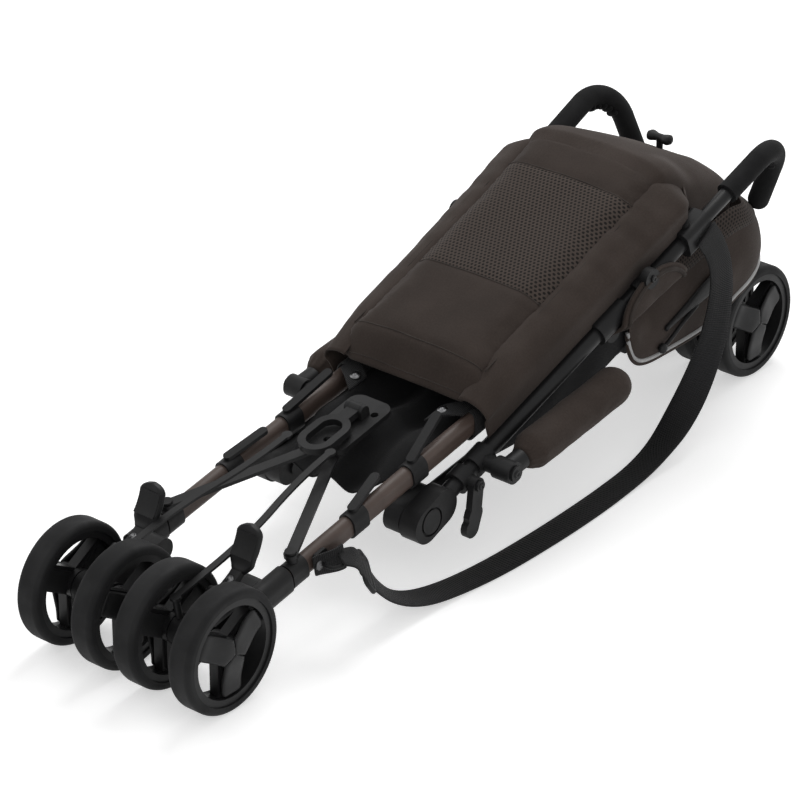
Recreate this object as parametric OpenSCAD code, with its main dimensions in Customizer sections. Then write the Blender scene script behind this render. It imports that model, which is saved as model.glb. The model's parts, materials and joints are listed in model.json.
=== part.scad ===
// Umbrella stroller, folded and lying on its wheels with the back of the seat facing up.
// The rear axle is at the low X end, the handles at the high X end, and +Y is the left side.

/* [Wheels] */
// Diameter over the tyre
wheel_d = 140; // [130:1:144]
// Width of a tyre
tyre_w = 30; // [24:1:32]
// Thickness of the rubber
tyre_t = 10; // [7:1:12]
// Width of the rim's flange
rim_t = 8; // [6:1:10]
// Diameter of the hub
hub_d = 34; // [28:1:38]
// Number of spokes
spokes = 3; // [3:1:5]
// Width of a spoke
spoke_w = 30; // [18:1:34]
// Diameter of the axle rods
axle_d = 8; // [6:0.5:10]
// Distance between the two wheels of a rear pair
rear_pitch = 78; // [75:1:84]
// Distance between the two wheels of a front pair
front_pitch = 54; // [52:1:60]

/* [Side frames] */
// Distance from the middle to the centre of a rear pair
axle_y = 69; // [67:1:72]
// Distance from the middle to a rear leg at the axle
leg_y = 89; // [86:0.5:89.5]
// Distance from the middle to a rear leg at its upper pivot
leg_top_y = 89; // [87:0.5:89.5]
// Width of the oval rear leg
leg_w = 17; // [14:0.5:18]
// Height of the oval rear leg
leg_h = 26; // [22:0.5:28]
// Wall of the tubes
tube_wall = 1.6; // [1:0.1:2.5]
// Diameter of the main tube
main_d = 20; // [18:0.5:21]
// Diameter of the thinner tube that carries the grip
handle_d = 17; // [15:0.5:17.5]
// Angle of the main tube to the floor when folded
main_tilt = 21.5; // [20.5:0.5:22]
// Length of the straight main tube above the lower joint
main_len = 622; // [610:1:640]
// Diameter of the front leg
front_d = 19; // [16:0.5:20]
// Distance from the rear axle to the front axle when folded
front_x = 963; // [950:1:975]
// Distance from the middle to the centre of a front pair
front_y = 56; // [54:1:60]
// Height of the lower joint above the floor when folded
joint_z = 84; // [80:1:86]
// Distance from the rear axle to the lower joint when folded
joint_x = 322; // [315:1:330]

/* [Grips] */
// Diameter of the foam
grip_d = 26; // [23:0.5:28]
// Length of the turned down end
grip_drop = 56; // [45:1:65]
// Angle of the bend
grip_bend = 104; // [95:1:108]
// How far the bend leans in
grip_roll = 22; // [16:1:28]
// Radius of the bend
grip_r = 44; // [36:1:48]

/* [Back and seat] */
// Half width of the back panel
panel_half = 98; // [92:1:98]
// Length of the back panel
panel_len = 390; // [380:1:395]
// Thickness of the back panel
panel_t = 28; // [20:1:30]
// Height of the back panel's hem above the main tubes
panel_rise = 54; // [50:1:58]

/* [Bumper] */
// Diameter of the padded bumper arm
bumper_d = 50; // [42:1:52]
// Length of the pad
bumper_len = 190; // [160:5:200]

/* [Brace] */
// Thickness of the flat bars
bar_t = 4.5; // [3:0.5:5]
// Width of the flat bars
bar_w = 13; // [10:1:15]
// Distance from the rear axle to the brace hub when folded
hub_x = 325; // [315:1:330]

/* [Hidden] */
SIDES = [-1, 1];
SIDE_NAMES = ["right", "left"];
SIDE_NODES = ["rear_leg", "leg_clamps", "axle_housing", "brake_pedal", "brake_link", "brace_arm",
    "main_tube", "grip", "main_brackets", "joint_upper", "side_gusset", "front_leg", "front_fittings",
    "caster", "bumper_pad", "bumper_arm"];
WHEEL_NODES = ["rear_inner", "rear_outer", "front_inner", "front_outer"];

$fn = 48;
run_fit = 0.05;
rest_gap = 0.3;
cut_over = 1;
blend_in = 0.02;

wheel_r = wheel_d / 2;
rim_r = wheel_r - tyre_t;
tyre_round = 6;
hub_w = tyre_w - 2;
rim_w = tyre_w - 4;
spoke_t = 12;
cover_t = 3;
cap_d = 16;
cap_t = 3;

// The overall length sets the middle of the part
mid_x = front_x / 2;

// Upper pivot, where the rear leg turns on a bracket below the main tube
main_c = cos(main_tilt);
main_s = sin(main_tilt);
pivot_l = 334;
pivot_drop = 16;
pivot_x = joint_x + pivot_l * main_c + pivot_drop * main_s;
pivot_z = joint_z + pivot_l * main_s - pivot_drop * main_c;
leg_tilt = atan2(pivot_z - wheel_r, pivot_x);
leg_run = norm([pivot_x, pivot_z - wheel_r]);
leg_skew = atan2(leg_top_y - leg_y, leg_run);
leg_len = norm([leg_run, leg_top_y - leg_y]);
leg_start = wheel_r + 10;
leg_over = 26;
pin_d = 8;
pivot_boss_d = 22;
pivot_gap = rest_gap + pivot_boss_d / 2 * tan(leg_skew);

// Rear axle housing and brake
housing_w = rear_pitch - tyre_w - 3;
housing_d = 36;
sleeve_t = 4;
sleeve_start = wheel_r + 5;
sleeve_end = leg_start + 40;
pedal_x = 42;
pedal_z = 25;
pedal_w = 15;
pedal_pin_d = 6;
pedal_arc_r = 70;
pedal_arc = 52;
paddle_w = 28;
lug_t = 4;

// Flat brace of two crossing arms below the hub
clamp_x = [135, 235, 335];
clamp_len = 24;
clamp_t = 2.5;
clamp_top = leg_h / 2 + clamp_t;
arm_z = [clamp_top + rest_gap + bar_t + rest_gap, clamp_top + rest_gap];
arm_foot = [clamp_x[0] * cos(leg_skew), leg_y + clamp_x[0] * sin(leg_skew)];
arm_pin_d = 7;
hub_pin_d = 8;
hub_z = arm_z[0] + bar_t + rest_gap;
hub_t = 6;
ring_pin_x = hub_x + 27;
ring_z = hub_z + hub_t + 8;
ring_t = 8;
link_z = ring_z + 3;

// Main tube and what is clamped to it
main_y = 109;
main_lean = atan2(18, 600);
bend_start = main_len;
grip_start = bend_start - 60;
grip_lap = 2;
grip_step = 0.1;
bracket_d = main_d + 9;
bumper_l = 98;
bumper_y = 150;
bumper_tilt = 8;
bumper_pin_d = 10;
hook_l = 66;
hook_pin_d = 7;
clip_l = 396;
clip_z = 20;
strap_l = 492;
block_len = 44;

// Lower joint, where the front leg turns on the main tube
joint_w = 24;
joint_face = main_y - joint_w / 2;
joint_len = 72;
joint_h = 42;
joint_pin_d = 12;
lower_w = 22;
front_leg_y = joint_face - rest_gap - lower_w / 2;

// Caster of a front pair
stem_tilt = 65;
trail = 30;
stem_from = 74;
stem_len = 46;
stem_d = 30;
stem_pin_d = 10;
caster_w = front_pitch - tyre_w - 3;
caster_head = 30;
stem_dir = [-sin(stem_tilt), 0, cos(stem_tilt)];
stem_foot = [front_x + trail * cos(stem_tilt), front_y, wheel_r + trail * sin(stem_tilt)];
stem_mid = stem_foot + (stem_from + stem_len / 2) * stem_dir;
front_from = [joint_x, front_leg_y, joint_z];
front_dir = (stem_mid - front_from) / norm(stem_mid - front_from);
front_end = stem_mid - 30 * front_dir;
socket_d = front_d + 7;
socket_len = 34;

// Back panel, seat, hood and visor
panel_from = 115;
panel_end = panel_from + panel_len;
panel_r = 900;
panel_fall = 1.2;
panel_end_z = panel_rise - panel_len * tan(panel_fall);
hem_t = 5;
hem_run = 36;
gusset_t = 7;
rod_d = 8;
visor_half = 112;
visor_wall = 15;
visor_from = 680;
nose_x = front_x - 70;
visor_z = wheel_d - 21;
visor_h = 74;
visor_tilt = 6;
visor_lean = [0.985, 0.99];
visor_rake = 18;
visor_round = 40;
visor_arm_w = 8;
visor_arm_z = visor_z + 22;
hood_half = 95;
hood_l = panel_end + rest_gap + (panel_t + 8) * tan(panel_fall);
hood_from = main_pt(hood_l, 0, panel_end_z + panel_t - 2);
hood_r = 350;
hood_steep = [82, 53];
hood_mid = [hood_from[0] - hood_r * cos(hood_steep[0]), hood_from[2] - hood_r * sin(hood_steep[0])];
hood_nose_r = 36;
hood_nose = hood_mid + (hood_r - hood_nose_r) * [cos(hood_steep[1]), sin(hood_steep[1])];
hood_x = hood_nose[0] + hood_nose_r;
hood_drop = 36;
hood_side_r = 42;
hood_plan_r = 60;
knob_back = 58;
knob_sink = 13;
knob_x = hood_x - knob_back;
knob_z = hood_mid[1] + sqrt(pow(hood_r, 2) - pow(knob_x - hood_mid[0], 2)) - knob_sink;
knob_stem = 8;
knob_rise = 26;
hood_reach = 300;

// Flat carrying strap: its route on the right side, and the way its width lies at each point
strap_w = 36;
strap_t = 2.4;
strap_pts = [
    [182, -128, 104], [190, -130, 96], [200, -131, 81], [213, -132, 62], [231, -133, 42], [257, -134, 23],
    [292, -136, 10], [340, -141, 4], [400, -147, 3], [470, -149, 3], [540, -148, 3], [610, -144, 3],
    [672, -141, 8], [716, -141, 24], [750, -143, 52], [776, -146, 88], [796, -149, 132], [806, -150, 178],
    [806, -149, 216], [798, -145, 244], [785, -141, 266]
];
strap_across = [
    [40, 30, 20], [40, 20, 30], [40, 10, 40], [40, -10, 36], [34, -40, 28], [18, -56, 14],
    [6, -60, 4], [0, -60, 0], [0, -60, 0], [0, -60, 0], [0, -60, 0], [0, -60, 2],
    [8, -58, 6], [20, -54, 10], [34, -48, 4], [46, -38, -4], [54, -26, -8], [58, -14, -4],
    [58, -6, 6], [56, -2, 18], [56, -2, 23]
];

function main_pt(l, y, z) = [joint_x + l * main_c - z * main_s, y, joint_z + l * main_s + z * main_c];

function arc_points(c, r, from, to, n) = [
    for (i = [0:n]) let (a = from + (to - from) * i / n) [c[0] + r * cos(a), c[1] + r * sin(a)]
];

module place() translate([-mid_x, 0, 0]) children();
module on_side(s) place() mirror([0, s < 0 ? 1 : 0, 0]) children();
module leg_frame() translate([0, 0, wheel_r]) rotate([0, -leg_tilt, 0]) children();
module leg_line() leg_frame() translate([0, leg_y, 0]) rotate([0, 0, leg_skew]) children();
module main_frame() translate([joint_x, 0, joint_z]) rotate([0, -main_tilt, 0]) children();
module main_line() main_frame() translate([0, main_y, 0]) rotate([0, 0, main_lean]) children();
module across(y) translate([0, y, 0]) rotate([-90, 0, 0]) children();

module rod(p, q, d) {
    v = q - p;
    translate(p) rotate([0, acos(v[2] / norm(v)), atan2(v[1], v[0])]) cylinder(h = norm(v), d = d);
}

module stadium(w, h) {
    r = min(w, h) / 2;
    square(w > h ? [w - 2 * r, h] : [w, h - 2 * r], center = true);
    for (i = [-1, 1]) {
        translate(w > h ? [i * (w / 2 - r), 0] : [0, i * (h / 2 - r)]) circle(r = r);
    }
}

module rounded(w, h, r) {
    square([w - 2 * r, h], center = true);
    square([w, h - 2 * r], center = true);
    for (i = [-1, 1]) {
        for (j = [-1, 1]) translate([i * (w / 2 - r), j * (h / 2 - r)]) circle(r = r);
    }
}

module bar_2d(p, q, w) {
    v = q - p;
    translate(p) circle(d = w);
    translate(q) circle(d = w);
    translate(p) rotate(atan2(v[1], v[0])) translate([0, blend_in - w / 2]) square([norm(v), w - 2 * blend_in]);
}

module along_x(from, to) translate([from, 0, 0]) rotate([90, 0, 90]) linear_extrude(to - from) children();
module sleeve(from, to, d, bore) {
    along_x(from, to) difference() {
        circle(d = d);
        circle(d = bore);
    }
}

// Wheels
module tyre_solid() {
    shoulder = wheel_r - tyre_round;
    flat = tyre_w / 2 - tyre_round;
    rotate_extrude($fn = 96) {
        translate([rim_r, -tyre_w / 2]) square([shoulder - rim_r, tyre_w]);
        translate([rim_r, -flat]) square([tyre_t, 2 * flat]);
        for (i = [-1, 1]) intersection() {
            translate([shoulder, i * flat]) circle(r = tyre_round);
            translate([rim_r, -tyre_w]) square([tyre_t, 2 * tyre_w]);
        }
    }
}

module spoke_star(w, reach) {
    for (i = [0:spokes - 1]) rotate(90 + i * 360 / spokes) translate([0, -w / 2]) square([reach, w]);
}

module rim_solid() {
    bore_d = axle_d + 2 * run_fit;
    flange_r = rim_r - rim_t;
    difference() {
        union() {
            rotate_extrude($fn = 96) translate([flange_r, -rim_w / 2]) square([rim_t, rim_w]);
            linear_extrude(spoke_t, center = true) spoke_star(spoke_w, flange_r + rim_t / 2);
            for (i = [0, 1]) mirror([0, 0, i]) {
                translate([0, 0, spoke_t / 2]) linear_extrude(cover_t) {
                    intersection() {
                        spoke_star(spoke_w - 8, flange_r);
                        circle(r = flange_r - 4);
                    }
                }
            }
            cylinder(h = hub_w, d = hub_d, center = true);
        }
        cylinder(h = hub_w + 2 * cut_over, d = bore_d, center = true);
    }
}

module rear_wheel_at(outer) {
    translate([0, axle_y + (outer ? 1 : -1) * rear_pitch / 2, wheel_r]) rotate([-90, 0, 0]) children();
}

module front_wheel_at(outer) {
    translate([front_x, front_y + (outer ? 1 : -1) * front_pitch / 2, wheel_r]) rotate([-90, 0, 0]) children();
}

module tyre() color("#1b1b1c") tyre_solid();
module rim() color("#222223") rim_solid();

// An axle with its two end caps, for a pair of wheels a pitch apart
module axle(pitch) {
    reach = pitch / 2 + hub_w / 2 + rest_gap;
    rotate([-90, 0, 0]) {
        cylinder(h = 2 * reach, d = axle_d, center = true);
        for (i = [0, 1]) mirror([0, 0, i]) translate([0, 0, reach]) cylinder(h = cap_t, d = cap_d);
    }
}

// Rear leg side
module rear_leg() {
    color("#5c4a3f") difference() {
        leg_line() along_x(leg_start, leg_len + leg_over) difference() {
            stadium(leg_w, leg_h);
            stadium(leg_w - 2 * tube_wall, leg_h - 2 * tube_wall);
        }
        translate([pivot_x, 0, pivot_z]) across(0) cylinder(h = 2 * leg_top_y, d = pin_d + 2 * run_fit);
    }
}

module clamp_ring(x) {
    along_x(x - clamp_len / 2, x + clamp_len / 2) difference() {
        stadium(leg_w + 2 * clamp_t, leg_h + 2 * clamp_t);
        stadium(leg_w, leg_h);
    }
}

// Clamps of the rear leg: the lowest carries the brace arm's pin, the others short links
module leg_clamps(s) {
    arm_level = s < 0 ? arm_z[0] : arm_z[1];
    pin_top = arm_level + bar_t + rest_gap;
    lift = 1;
    color("#232324") {
        leg_line() {
            for (x = clamp_x) clamp_ring(x);
            translate([clamp_x[0], 0, clamp_top - lift]) {
                cylinder(h = arm_level - clamp_top - rest_gap + lift, d = bar_w);
                cylinder(h = pin_top - clamp_top + lift, d = arm_pin_d);
                translate([0, 0, pin_top - clamp_top + lift]) cylinder(h = 3, d = bar_w);
            }
            for (i = [1, 2]) side_link(clamp_x[i], 50 + 12 * (i - 1), 6 + 8 * (i - 1));
        }
    }
    if (s < 0) color("#232324") strap_tab();
}

// Short flat link that rises from a clamp towards the seat
module side_link(x, reach, rise) {
    translate([x, 0, clamp_top - 0.5]) rotate([0, -rise, 0]) rotate([0, 0, -10]) linear_extrude(bar_t) {
        bar_2d([0, 0], [reach, 0], bar_w - 2);
    }
}

// Tab and ring that hold the lower end of the carrying strap
module strap_tab() {
    tab_x = 166;
    ring_r = 13;
    wire_d = 4;
    face = leg_w / 2;
    leg_line() translate([tab_x, face, 0]) {
        rotate([-90, 0, 0]) linear_extrude(4) rounded(20, 20, 4);
        translate([0, 5.5, 0]) rotate([0, 0, -30]) translate([0, ring_r, 0]) rotate_extrude($fn = 64) {
            translate([ring_r, 0]) circle(d = wire_d, $fn = 24);
        }
    }
}

module axle_housing() {
    pin_w = pedal_w + 2 * rest_gap + 2 * lug_t;
    color("#202021") {
        difference() {
            union() {
                translate([0, axle_y, wheel_r]) rotate([-90, 0, 0]) {
                    cylinder(h = housing_w, d = housing_d, center = true);
                }
                leg_frame() translate([0, axle_y + housing_w / 2 - 1, 0]) rotate([90, 0, 0]) {
                    linear_extrude(housing_w - 10) bar_2d([0, 0], [sleeve_start + 14, 0], housing_d - 8);
                }
                leg_line() along_x(sleeve_start, sleeve_end) stadium(leg_w + 2 * sleeve_t, leg_h + 2 * sleeve_t);
                pedal_frame() for (i = [-1, 1]) {
                    translate([0, i * (pedal_w + 2 * rest_gap + lug_t) / 2, -pedal_z]) rotate([90, 0, 0]) {
                        linear_extrude(lug_t, center = true) bar_2d([0, 0], [0, pedal_z], 14);
                    }
                }
                link_post();
            }
            leg_line() along_x(leg_start, sleeve_end + cut_over) stadium(leg_w, leg_h);
        }
        pedal_frame() rotate([90, 0, 0]) cylinder(h = pin_w, d = pedal_pin_d, center = true);
        translate([0, axle_y, wheel_r]) axle(rear_pitch);
    }
}

module pedal_frame() leg_frame() translate([pedal_x, axle_y, pedal_z]) children();

// Post on the housing that the brake link is screwed to
module link_post() {
    leg_frame() translate([0, axle_y - housing_w / 2 + 4, 0]) cylinder(h = link_z, d = 8);
}

// Pedal on a curved arm
module brake_pedal() {
    color("#1d1d1e") pedal_frame() difference() {
        union() {
            rotate([90, 0, 0]) cylinder(h = pedal_w, d = 14, center = true);
            translate([0, 0, pedal_arc_r]) rotate([90, 0, 0]) rotate([0, 0, -88]) {
                rotate_extrude(angle = pedal_arc, $fn = 96) {
                    translate([pedal_arc_r - 4, 1 - pedal_w / 2]) square([8, pedal_w - 2]);
                }
                rotate(pedal_arc - 14) rotate_extrude(angle = 26, $fn = 96) {
                    translate([pedal_arc_r - 9, -paddle_w / 2]) square([9, paddle_w]);
                }
            }
        }
        rotate([90, 0, 0]) cylinder(h = pedal_w + 2, d = pedal_pin_d + 2 * run_fit, center = true);
    }
}

// Flat strip in a long S that joins the brake to the brace
module brake_link() {
    from_y = axle_y - housing_w / 2 + 4;
    run = 62;
    span = 210;
    shift = from_y - 31;
    turn = 2 * atan2(shift, span);
    bend_r = span / (2 * sin(turn));
    strip_w = 8;
    strip_t = 3;
    lap = 0.4;
    color("#1d1d1e") leg_frame() translate([0, from_y, link_z]) {
        translate([0, -strip_w / 2, 0]) cube([run, strip_w, strip_t]);
        cylinder(h = strip_t, d = strip_w + 4);
        translate([run, -bend_r, 0]) rotate([0, 0, 90 - turn - lap]) {
            rotate_extrude(angle = turn + 2 * lap, $fn = 128) {
                translate([bend_r - strip_w / 2, 0]) square([strip_w, strip_t]);
            }
        }
        translate([run + span, bend_r - shift, 0]) rotate([0, 0, 270 - turn - lap]) {
            rotate_extrude(angle = turn + lap, $fn = 128) {
                translate([bend_r - strip_w / 2, 0]) square([strip_w, strip_t]);
            }
        }
        translate([run + span, -shift, 0]) cylinder(h = strip_t, d = strip_w + 4);
    }
}

// Flat arm from the lowest clamp to the hub
module brace_arm(s) {
    hub_end = [hub_x, 0];
    color("#262627") leg_frame() translate([0, 0, s < 0 ? arm_z[0] : arm_z[1]]) {
        linear_extrude(bar_t) difference() {
            union() {
                bar_2d(arm_foot, hub_end, bar_w);
                translate(hub_end) circle(d = 22);
                translate(arm_foot) circle(d = bar_w + 3);
            }
            translate(arm_foot) circle(d = arm_pin_d + 2 * run_fit);
            translate(hub_end) circle(d = hub_pin_d + 2 * run_fit);
        }
    }
}

// Plate over the crossing of the arms, with the lugs of the foot ring
module hub_plate() {
    plate_len = 98;
    plate_w = 56;
    lug_y = 8 + rest_gap + lug_t / 2;
    color("#202021") place() leg_frame() {
        translate([hub_x, 0, hub_z]) linear_extrude(hub_t) translate([10, 0]) difference() {
            rounded(plate_len, plate_w, 14);
            for (i = [-1, 1]) translate([26, i * 17]) circle(d = 9);
            translate([-34, 0]) circle(d = 9);
        }
        translate([hub_x, 0, arm_z[0]]) cylinder(h = hub_z - arm_z[0] + 1, d = hub_pin_d);
        for (i = [-1, 1]) translate([ring_pin_x, i * lug_y, hub_z + hub_t - 1]) rotate([90, 0, 0]) {
            linear_extrude(lug_t, center = true) bar_2d([0, 0], [0, ring_z - hub_z - hub_t + 1], 14);
        }
        translate([ring_pin_x, 0, ring_z]) rotate([90, 0, 0]) {
            cylinder(h = 2 * lug_y + lug_t, d = pedal_pin_d, center = true);
        }
    }
}

// Oval ring that a foot lifts to break the brace
module fold_ring() {
    ring_len = 66;
    ring_w = 44;
    wall = 9;
    reach = 54;
    neck_w = 16;
    color("#1b1b1c") place() leg_frame() translate([ring_pin_x, 0, ring_z]) difference() {
        union() {
            rotate([90, 0, 0]) cylinder(h = neck_w, d = 14, center = true);
            translate([0, 0, -ring_t / 2]) linear_extrude(ring_t) difference() {
                union() {
                    translate([-reach, 0]) stadium(ring_len, ring_w);
                    translate([-reach + ring_len / 2 - wall, -neck_w / 2]) square([reach - ring_len / 2 + wall, neck_w]);
                }
                translate([-reach, 0]) stadium(ring_len - 2 * wall, ring_w - 2 * wall);
            }
        }
        rotate([90, 0, 0]) cylinder(h = neck_w + 2, d = pedal_pin_d + 2 * run_fit, center = true);
    }
}

// Main tube side
module main_tube() {
    step = strap_l + block_len / 2;
    bore = handle_d - 2 * tube_wall;
    color("#29292a") main_line() {
        sleeve(joint_len / 2 - 10, step, main_d, bore);
        sleeve(step - blend_in, bend_start, handle_d, bore);
    }
}

// Rod with a domed end
module round_end(len, d) {
    rotate_extrude() intersection() {
        union() {
            square([d / 2, len]);
            translate([0, len]) circle(d = d);
        }
        square([d, len + d]);
    }
}

// Foam grip, bent down and in at its end
module grip() {
    color("#161617") main_line() difference() {
        union() {
            along_x(grip_start, bend_start + grip_lap) circle(d = grip_d - 2 * grip_step);
            translate([bend_start, 0, 0]) rotate([-grip_roll, 0, 0]) {
                translate([0, 0, -grip_r]) rotate([90, 0, 0]) rotate([0, 0, 90 - grip_bend]) {
                    rotate_extrude(angle = grip_bend, $fn = 96) translate([grip_r, 0]) circle(d = grip_d);
                }
                translate([0, 0, -grip_r]) rotate([0, grip_bend, 0]) translate([0, 0, grip_r]) {
                    rotate([0, 90, 0]) translate([0, 0, -grip_lap]) {
                        round_end(grip_drop + grip_lap, grip_d - 2 * grip_step);
                    }
                }
            }
        }
        along_x(grip_start - cut_over, bend_start) circle(d = handle_d);
    }
}

// Brackets clamped to the main tube: pivot rivet, bumper mount, hood clip and handle block
module main_brackets(s) {
    inner = leg_top_y - leg_w / 2;
    pivot_out = main_y + pivot_l * tan(main_lean);
    color("#1e1e1f") {
        difference() {
            union() {
                main_line() sleeve(pivot_l - 24, pivot_l + 24, bracket_d, main_d);
                main_frame() across(pivot_out - bracket_d / 2 + 4) linear_extrude(bracket_d / 2) {
                    bar_2d([pivot_l, 0], [pivot_l, pivot_drop], pivot_boss_d + 4);
                }
                translate([pivot_x, 0, pivot_z]) across(inner - pivot_gap) {
                    cylinder(h = pivot_out - inner + pivot_gap, d = pin_d);
                }
                translate([pivot_x, 0, pivot_z]) across(leg_top_y + leg_w / 2 + pivot_gap) {
                    cylinder(h = pivot_out - leg_top_y - leg_w / 2 - pivot_gap, d = pivot_boss_d);
                }
            }
            main_line() along_x(pivot_l - 30, pivot_l + 30) circle(d = main_d);
        }
        translate([pivot_x, 0, pivot_z]) across(inner - pivot_gap - 3) cylinder(h = 3, d = 15);
        bumper_mount();
        hood_clip();
        handle_block();
        if (s < 0) hook_mount();
    }
}

module bumper_mount() {
    out = bumper_y - main_y - bumper_l * tan(main_lean);
    difference() {
        union() {
            main_line() sleeve(bumper_l - 13, bumper_l + 13, bracket_d, main_d);
            translate(main_pt(bumper_l, bumper_y - out, 0)) rotate([-90, 0, 0]) {
                cylinder(h = out - bumper_d / 4 - rest_gap, d = 20);
                cylinder(h = out + bumper_d / 4, d = bumper_pin_d);
                translate([0, 0, out + bumper_d / 4]) cylinder(h = 3, d = 18);
            }
        }
        main_line() along_x(bumper_l - 20, bumper_l + 20) circle(d = main_d);
    }
}

module hood_clip() {
    main_line() translate([clip_l, 0, 0]) {
        sleeve(-14, 14, bracket_d, main_d);
        translate([0, bracket_d / 2 - 2, clip_z]) rotate([-90, 0, 0]) cylinder(h = 10, d = 24);
        translate([0, bracket_d / 2 - 4, bracket_d / 2 - 4]) rotate([-90, 0, 0]) {
            linear_extrude(4) translate([0, -6]) square([18, 20], center = true);
        }
    }
}

module handle_block() {
    main_line() translate([strap_l, 0, 0]) difference() {
        union() {
            along_x(-block_len / 2, block_len / 2) rounded(bracket_d, bracket_d + 4, 8);
            translate([-6, 0, bracket_d / 2]) cylinder(h = 6, d = 12);
        }
        along_x(-30, 30) circle(d = main_d);
    }
}

module hook_mount() {
    out = main_y + bracket_d / 2 + 4;
    difference() {
        union() {
            main_line() sleeve(hook_l - 9, hook_l + 9, bracket_d, main_d);
            translate(main_pt(hook_l, main_y, 0)) rotate([-90, 0, 0]) {
                cylinder(h = out - main_y, d = 16);
                cylinder(h = out - main_y + 9, d = hook_pin_d);
                translate([0, 0, out - main_y + 9]) cylinder(h = 3, d = 13);
            }
        }
        main_line() along_x(hook_l - 20, hook_l + 20) circle(d = main_d);
    }
}

// Transport hook that drops over a stud on the rear leg
module lock_hook() {
    face = main_y + bracket_d / 2 + 4 + rest_gap;
    color("#1b1b1c") on_side(-1) translate(main_pt(hook_l, face, 0)) rotate([90, 0, 0]) mirror([0, 0, 1]) {
        linear_extrude(9 - 2 * rest_gap) difference() {
            union() {
                bar_2d([0, 0], [-4, -34], 18);
                bar_2d([-4, -34], [-10, -50], 22);
            }
            circle(d = hook_pin_d + 2 * run_fit);
            translate([-22, -38]) circle(d = 12);
        }
    }
}

// Upper half of the oval lower joint, with its rivet
module joint_upper() {
    color("#1c1c1d") translate([joint_x, 0, joint_z]) {
        rotate([0, -main_tilt, 0]) difference() {
            across(joint_face) linear_extrude(joint_w) translate([8, 0]) stadium(joint_len, joint_h);
            translate([0, main_y, 0]) rotate([0, 0, main_lean]) along_x(joint_len / 2 - 10, joint_len) {
                circle(d = main_d);
            }
            across(joint_face + joint_w - 3) linear_extrude(4) difference() {
                circle(d = joint_h - 8);
                circle(d = joint_h - 13);
            }
        }
        across(joint_face - rest_gap - lower_w - rest_gap) cylinder(h = lower_w + 2, d = joint_pin_d);
        across(joint_face - lower_w - 2 * rest_gap - 3) cylinder(h = 3, d = 20);
    }
}

// Side gusset of the back panel, hung on the main tube
module side_gusset() {
    out = panel_half + rest_gap + gusset_t;
    lean_in = main_y + pivot_l * tan(main_lean) - out;
    seat = sqrt(pow(bracket_d / 2, 2) - pow(lean_in, 2)) + rest_gap;
    top = panel_t - 4;
    color("#3a302b") main_frame() translate([0, panel_half + rest_gap, 0]) rotate([90, 0, 0]) {
        mirror([0, 0, 1]) linear_extrude(gusset_t) polygon([
            [panel_from + 10, panel_rise - 12], [panel_from, panel_rise + hem_t - 1],
            [panel_from + hem_run, panel_rise + top], [panel_end, panel_end_z + top],
            [panel_end - 30, seat + 10], [clip_l + 28, seat], [pivot_l - 40, seat], [panel_from + 60, seat + 14]
        ]);
    }
}

// Front leg side
module front_leg() {
    start = front_from + (joint_len / 2 - 14) * front_dir;
    color("#29292a") difference() {
        rod(start, front_end, front_d);
        rod(start - front_dir, front_end + front_dir, front_d - 2 * tube_wall);
    }
}

// Lower half of the oval joint, and the stem housing of the caster
module front_fittings() {
    tilt = atan2(front_dir[2], front_dir[0]);
    color("#1c1c1d") {
        difference() {
            translate([joint_x, 0, joint_z]) rotate([0, -tilt, 0]) {
                across(joint_face - rest_gap - lower_w) linear_extrude(lower_w) {
                    translate([8, 0]) stadium(joint_len, joint_h - 6);
                }
            }
            rod(front_from + (joint_len / 2 - 14) * front_dir, front_end, front_d);
            translate([joint_x, 0, joint_z]) across(joint_face - lower_w - cut_over) {
                cylinder(h = lower_w + 2 * cut_over, d = joint_pin_d + 2 * run_fit);
            }
        }
        difference() {
            union() {
                translate(stem_foot) rotate([0, -stem_tilt, 0]) translate([0, 0, stem_from]) {
                    cylinder(h = stem_len, d = stem_d);
                }
                rod(front_end - socket_len * front_dir, stem_mid, socket_d);
            }
            rod(front_from, front_end, front_d);
            translate(stem_foot) rotate([0, -stem_tilt, 0]) translate([0, 0, stem_from - cut_over]) {
                cylinder(h = stem_len - 4 + cut_over, d = stem_pin_d + 2 * run_fit);
            }
        }
    }
}

// Swivelling carrier of a front pair, with its stem and axle
module caster() {
    head = stem_foot + caster_head * stem_dir;
    color("#202021") {
        translate([0, front_y, 0]) rotate([90, 0, 0]) linear_extrude(caster_w, center = true) {
            bar_2d([front_x, wheel_r], [head[0], head[2]], 28);
        }
        translate(stem_foot) rotate([0, -stem_tilt, 0]) {
            cylinder(h = stem_from - rest_gap, d = caster_w - 1);
            cylinder(h = stem_from + stem_len - 6, d = stem_pin_d);
        }
        translate([front_x, front_y, wheel_r]) axle(front_pitch);
    }
}

// Padded bumper arm
module bumper_at() translate(main_pt(bumper_l, bumper_y, 0)) rotate([0, -bumper_tilt, 0]) children();

module bumper_arm() {
    eye_w = bumper_d / 2 - 2 * rest_gap;
    core_d = 24;
    color("#1e1e1f") bumper_at() difference() {
        union() {
            rotate([90, 0, 0]) cylinder(h = eye_w, d = 26, center = true);
            along_x(0, 26) circle(d = core_d);
            along_x(26, 26 + bumper_len - bumper_d / 2) circle(d = core_d - 6);
        }
        rotate([90, 0, 0]) cylinder(h = bumper_d, d = bumper_pin_d + 2 * run_fit, center = true);
        for (i = [-1, 1]) translate([0, i * (eye_w / 2 + 20), 0]) rotate([90, 0, 0]) {
            cylinder(h = 40, d = 40, center = true);
        }
    }
}

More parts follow.
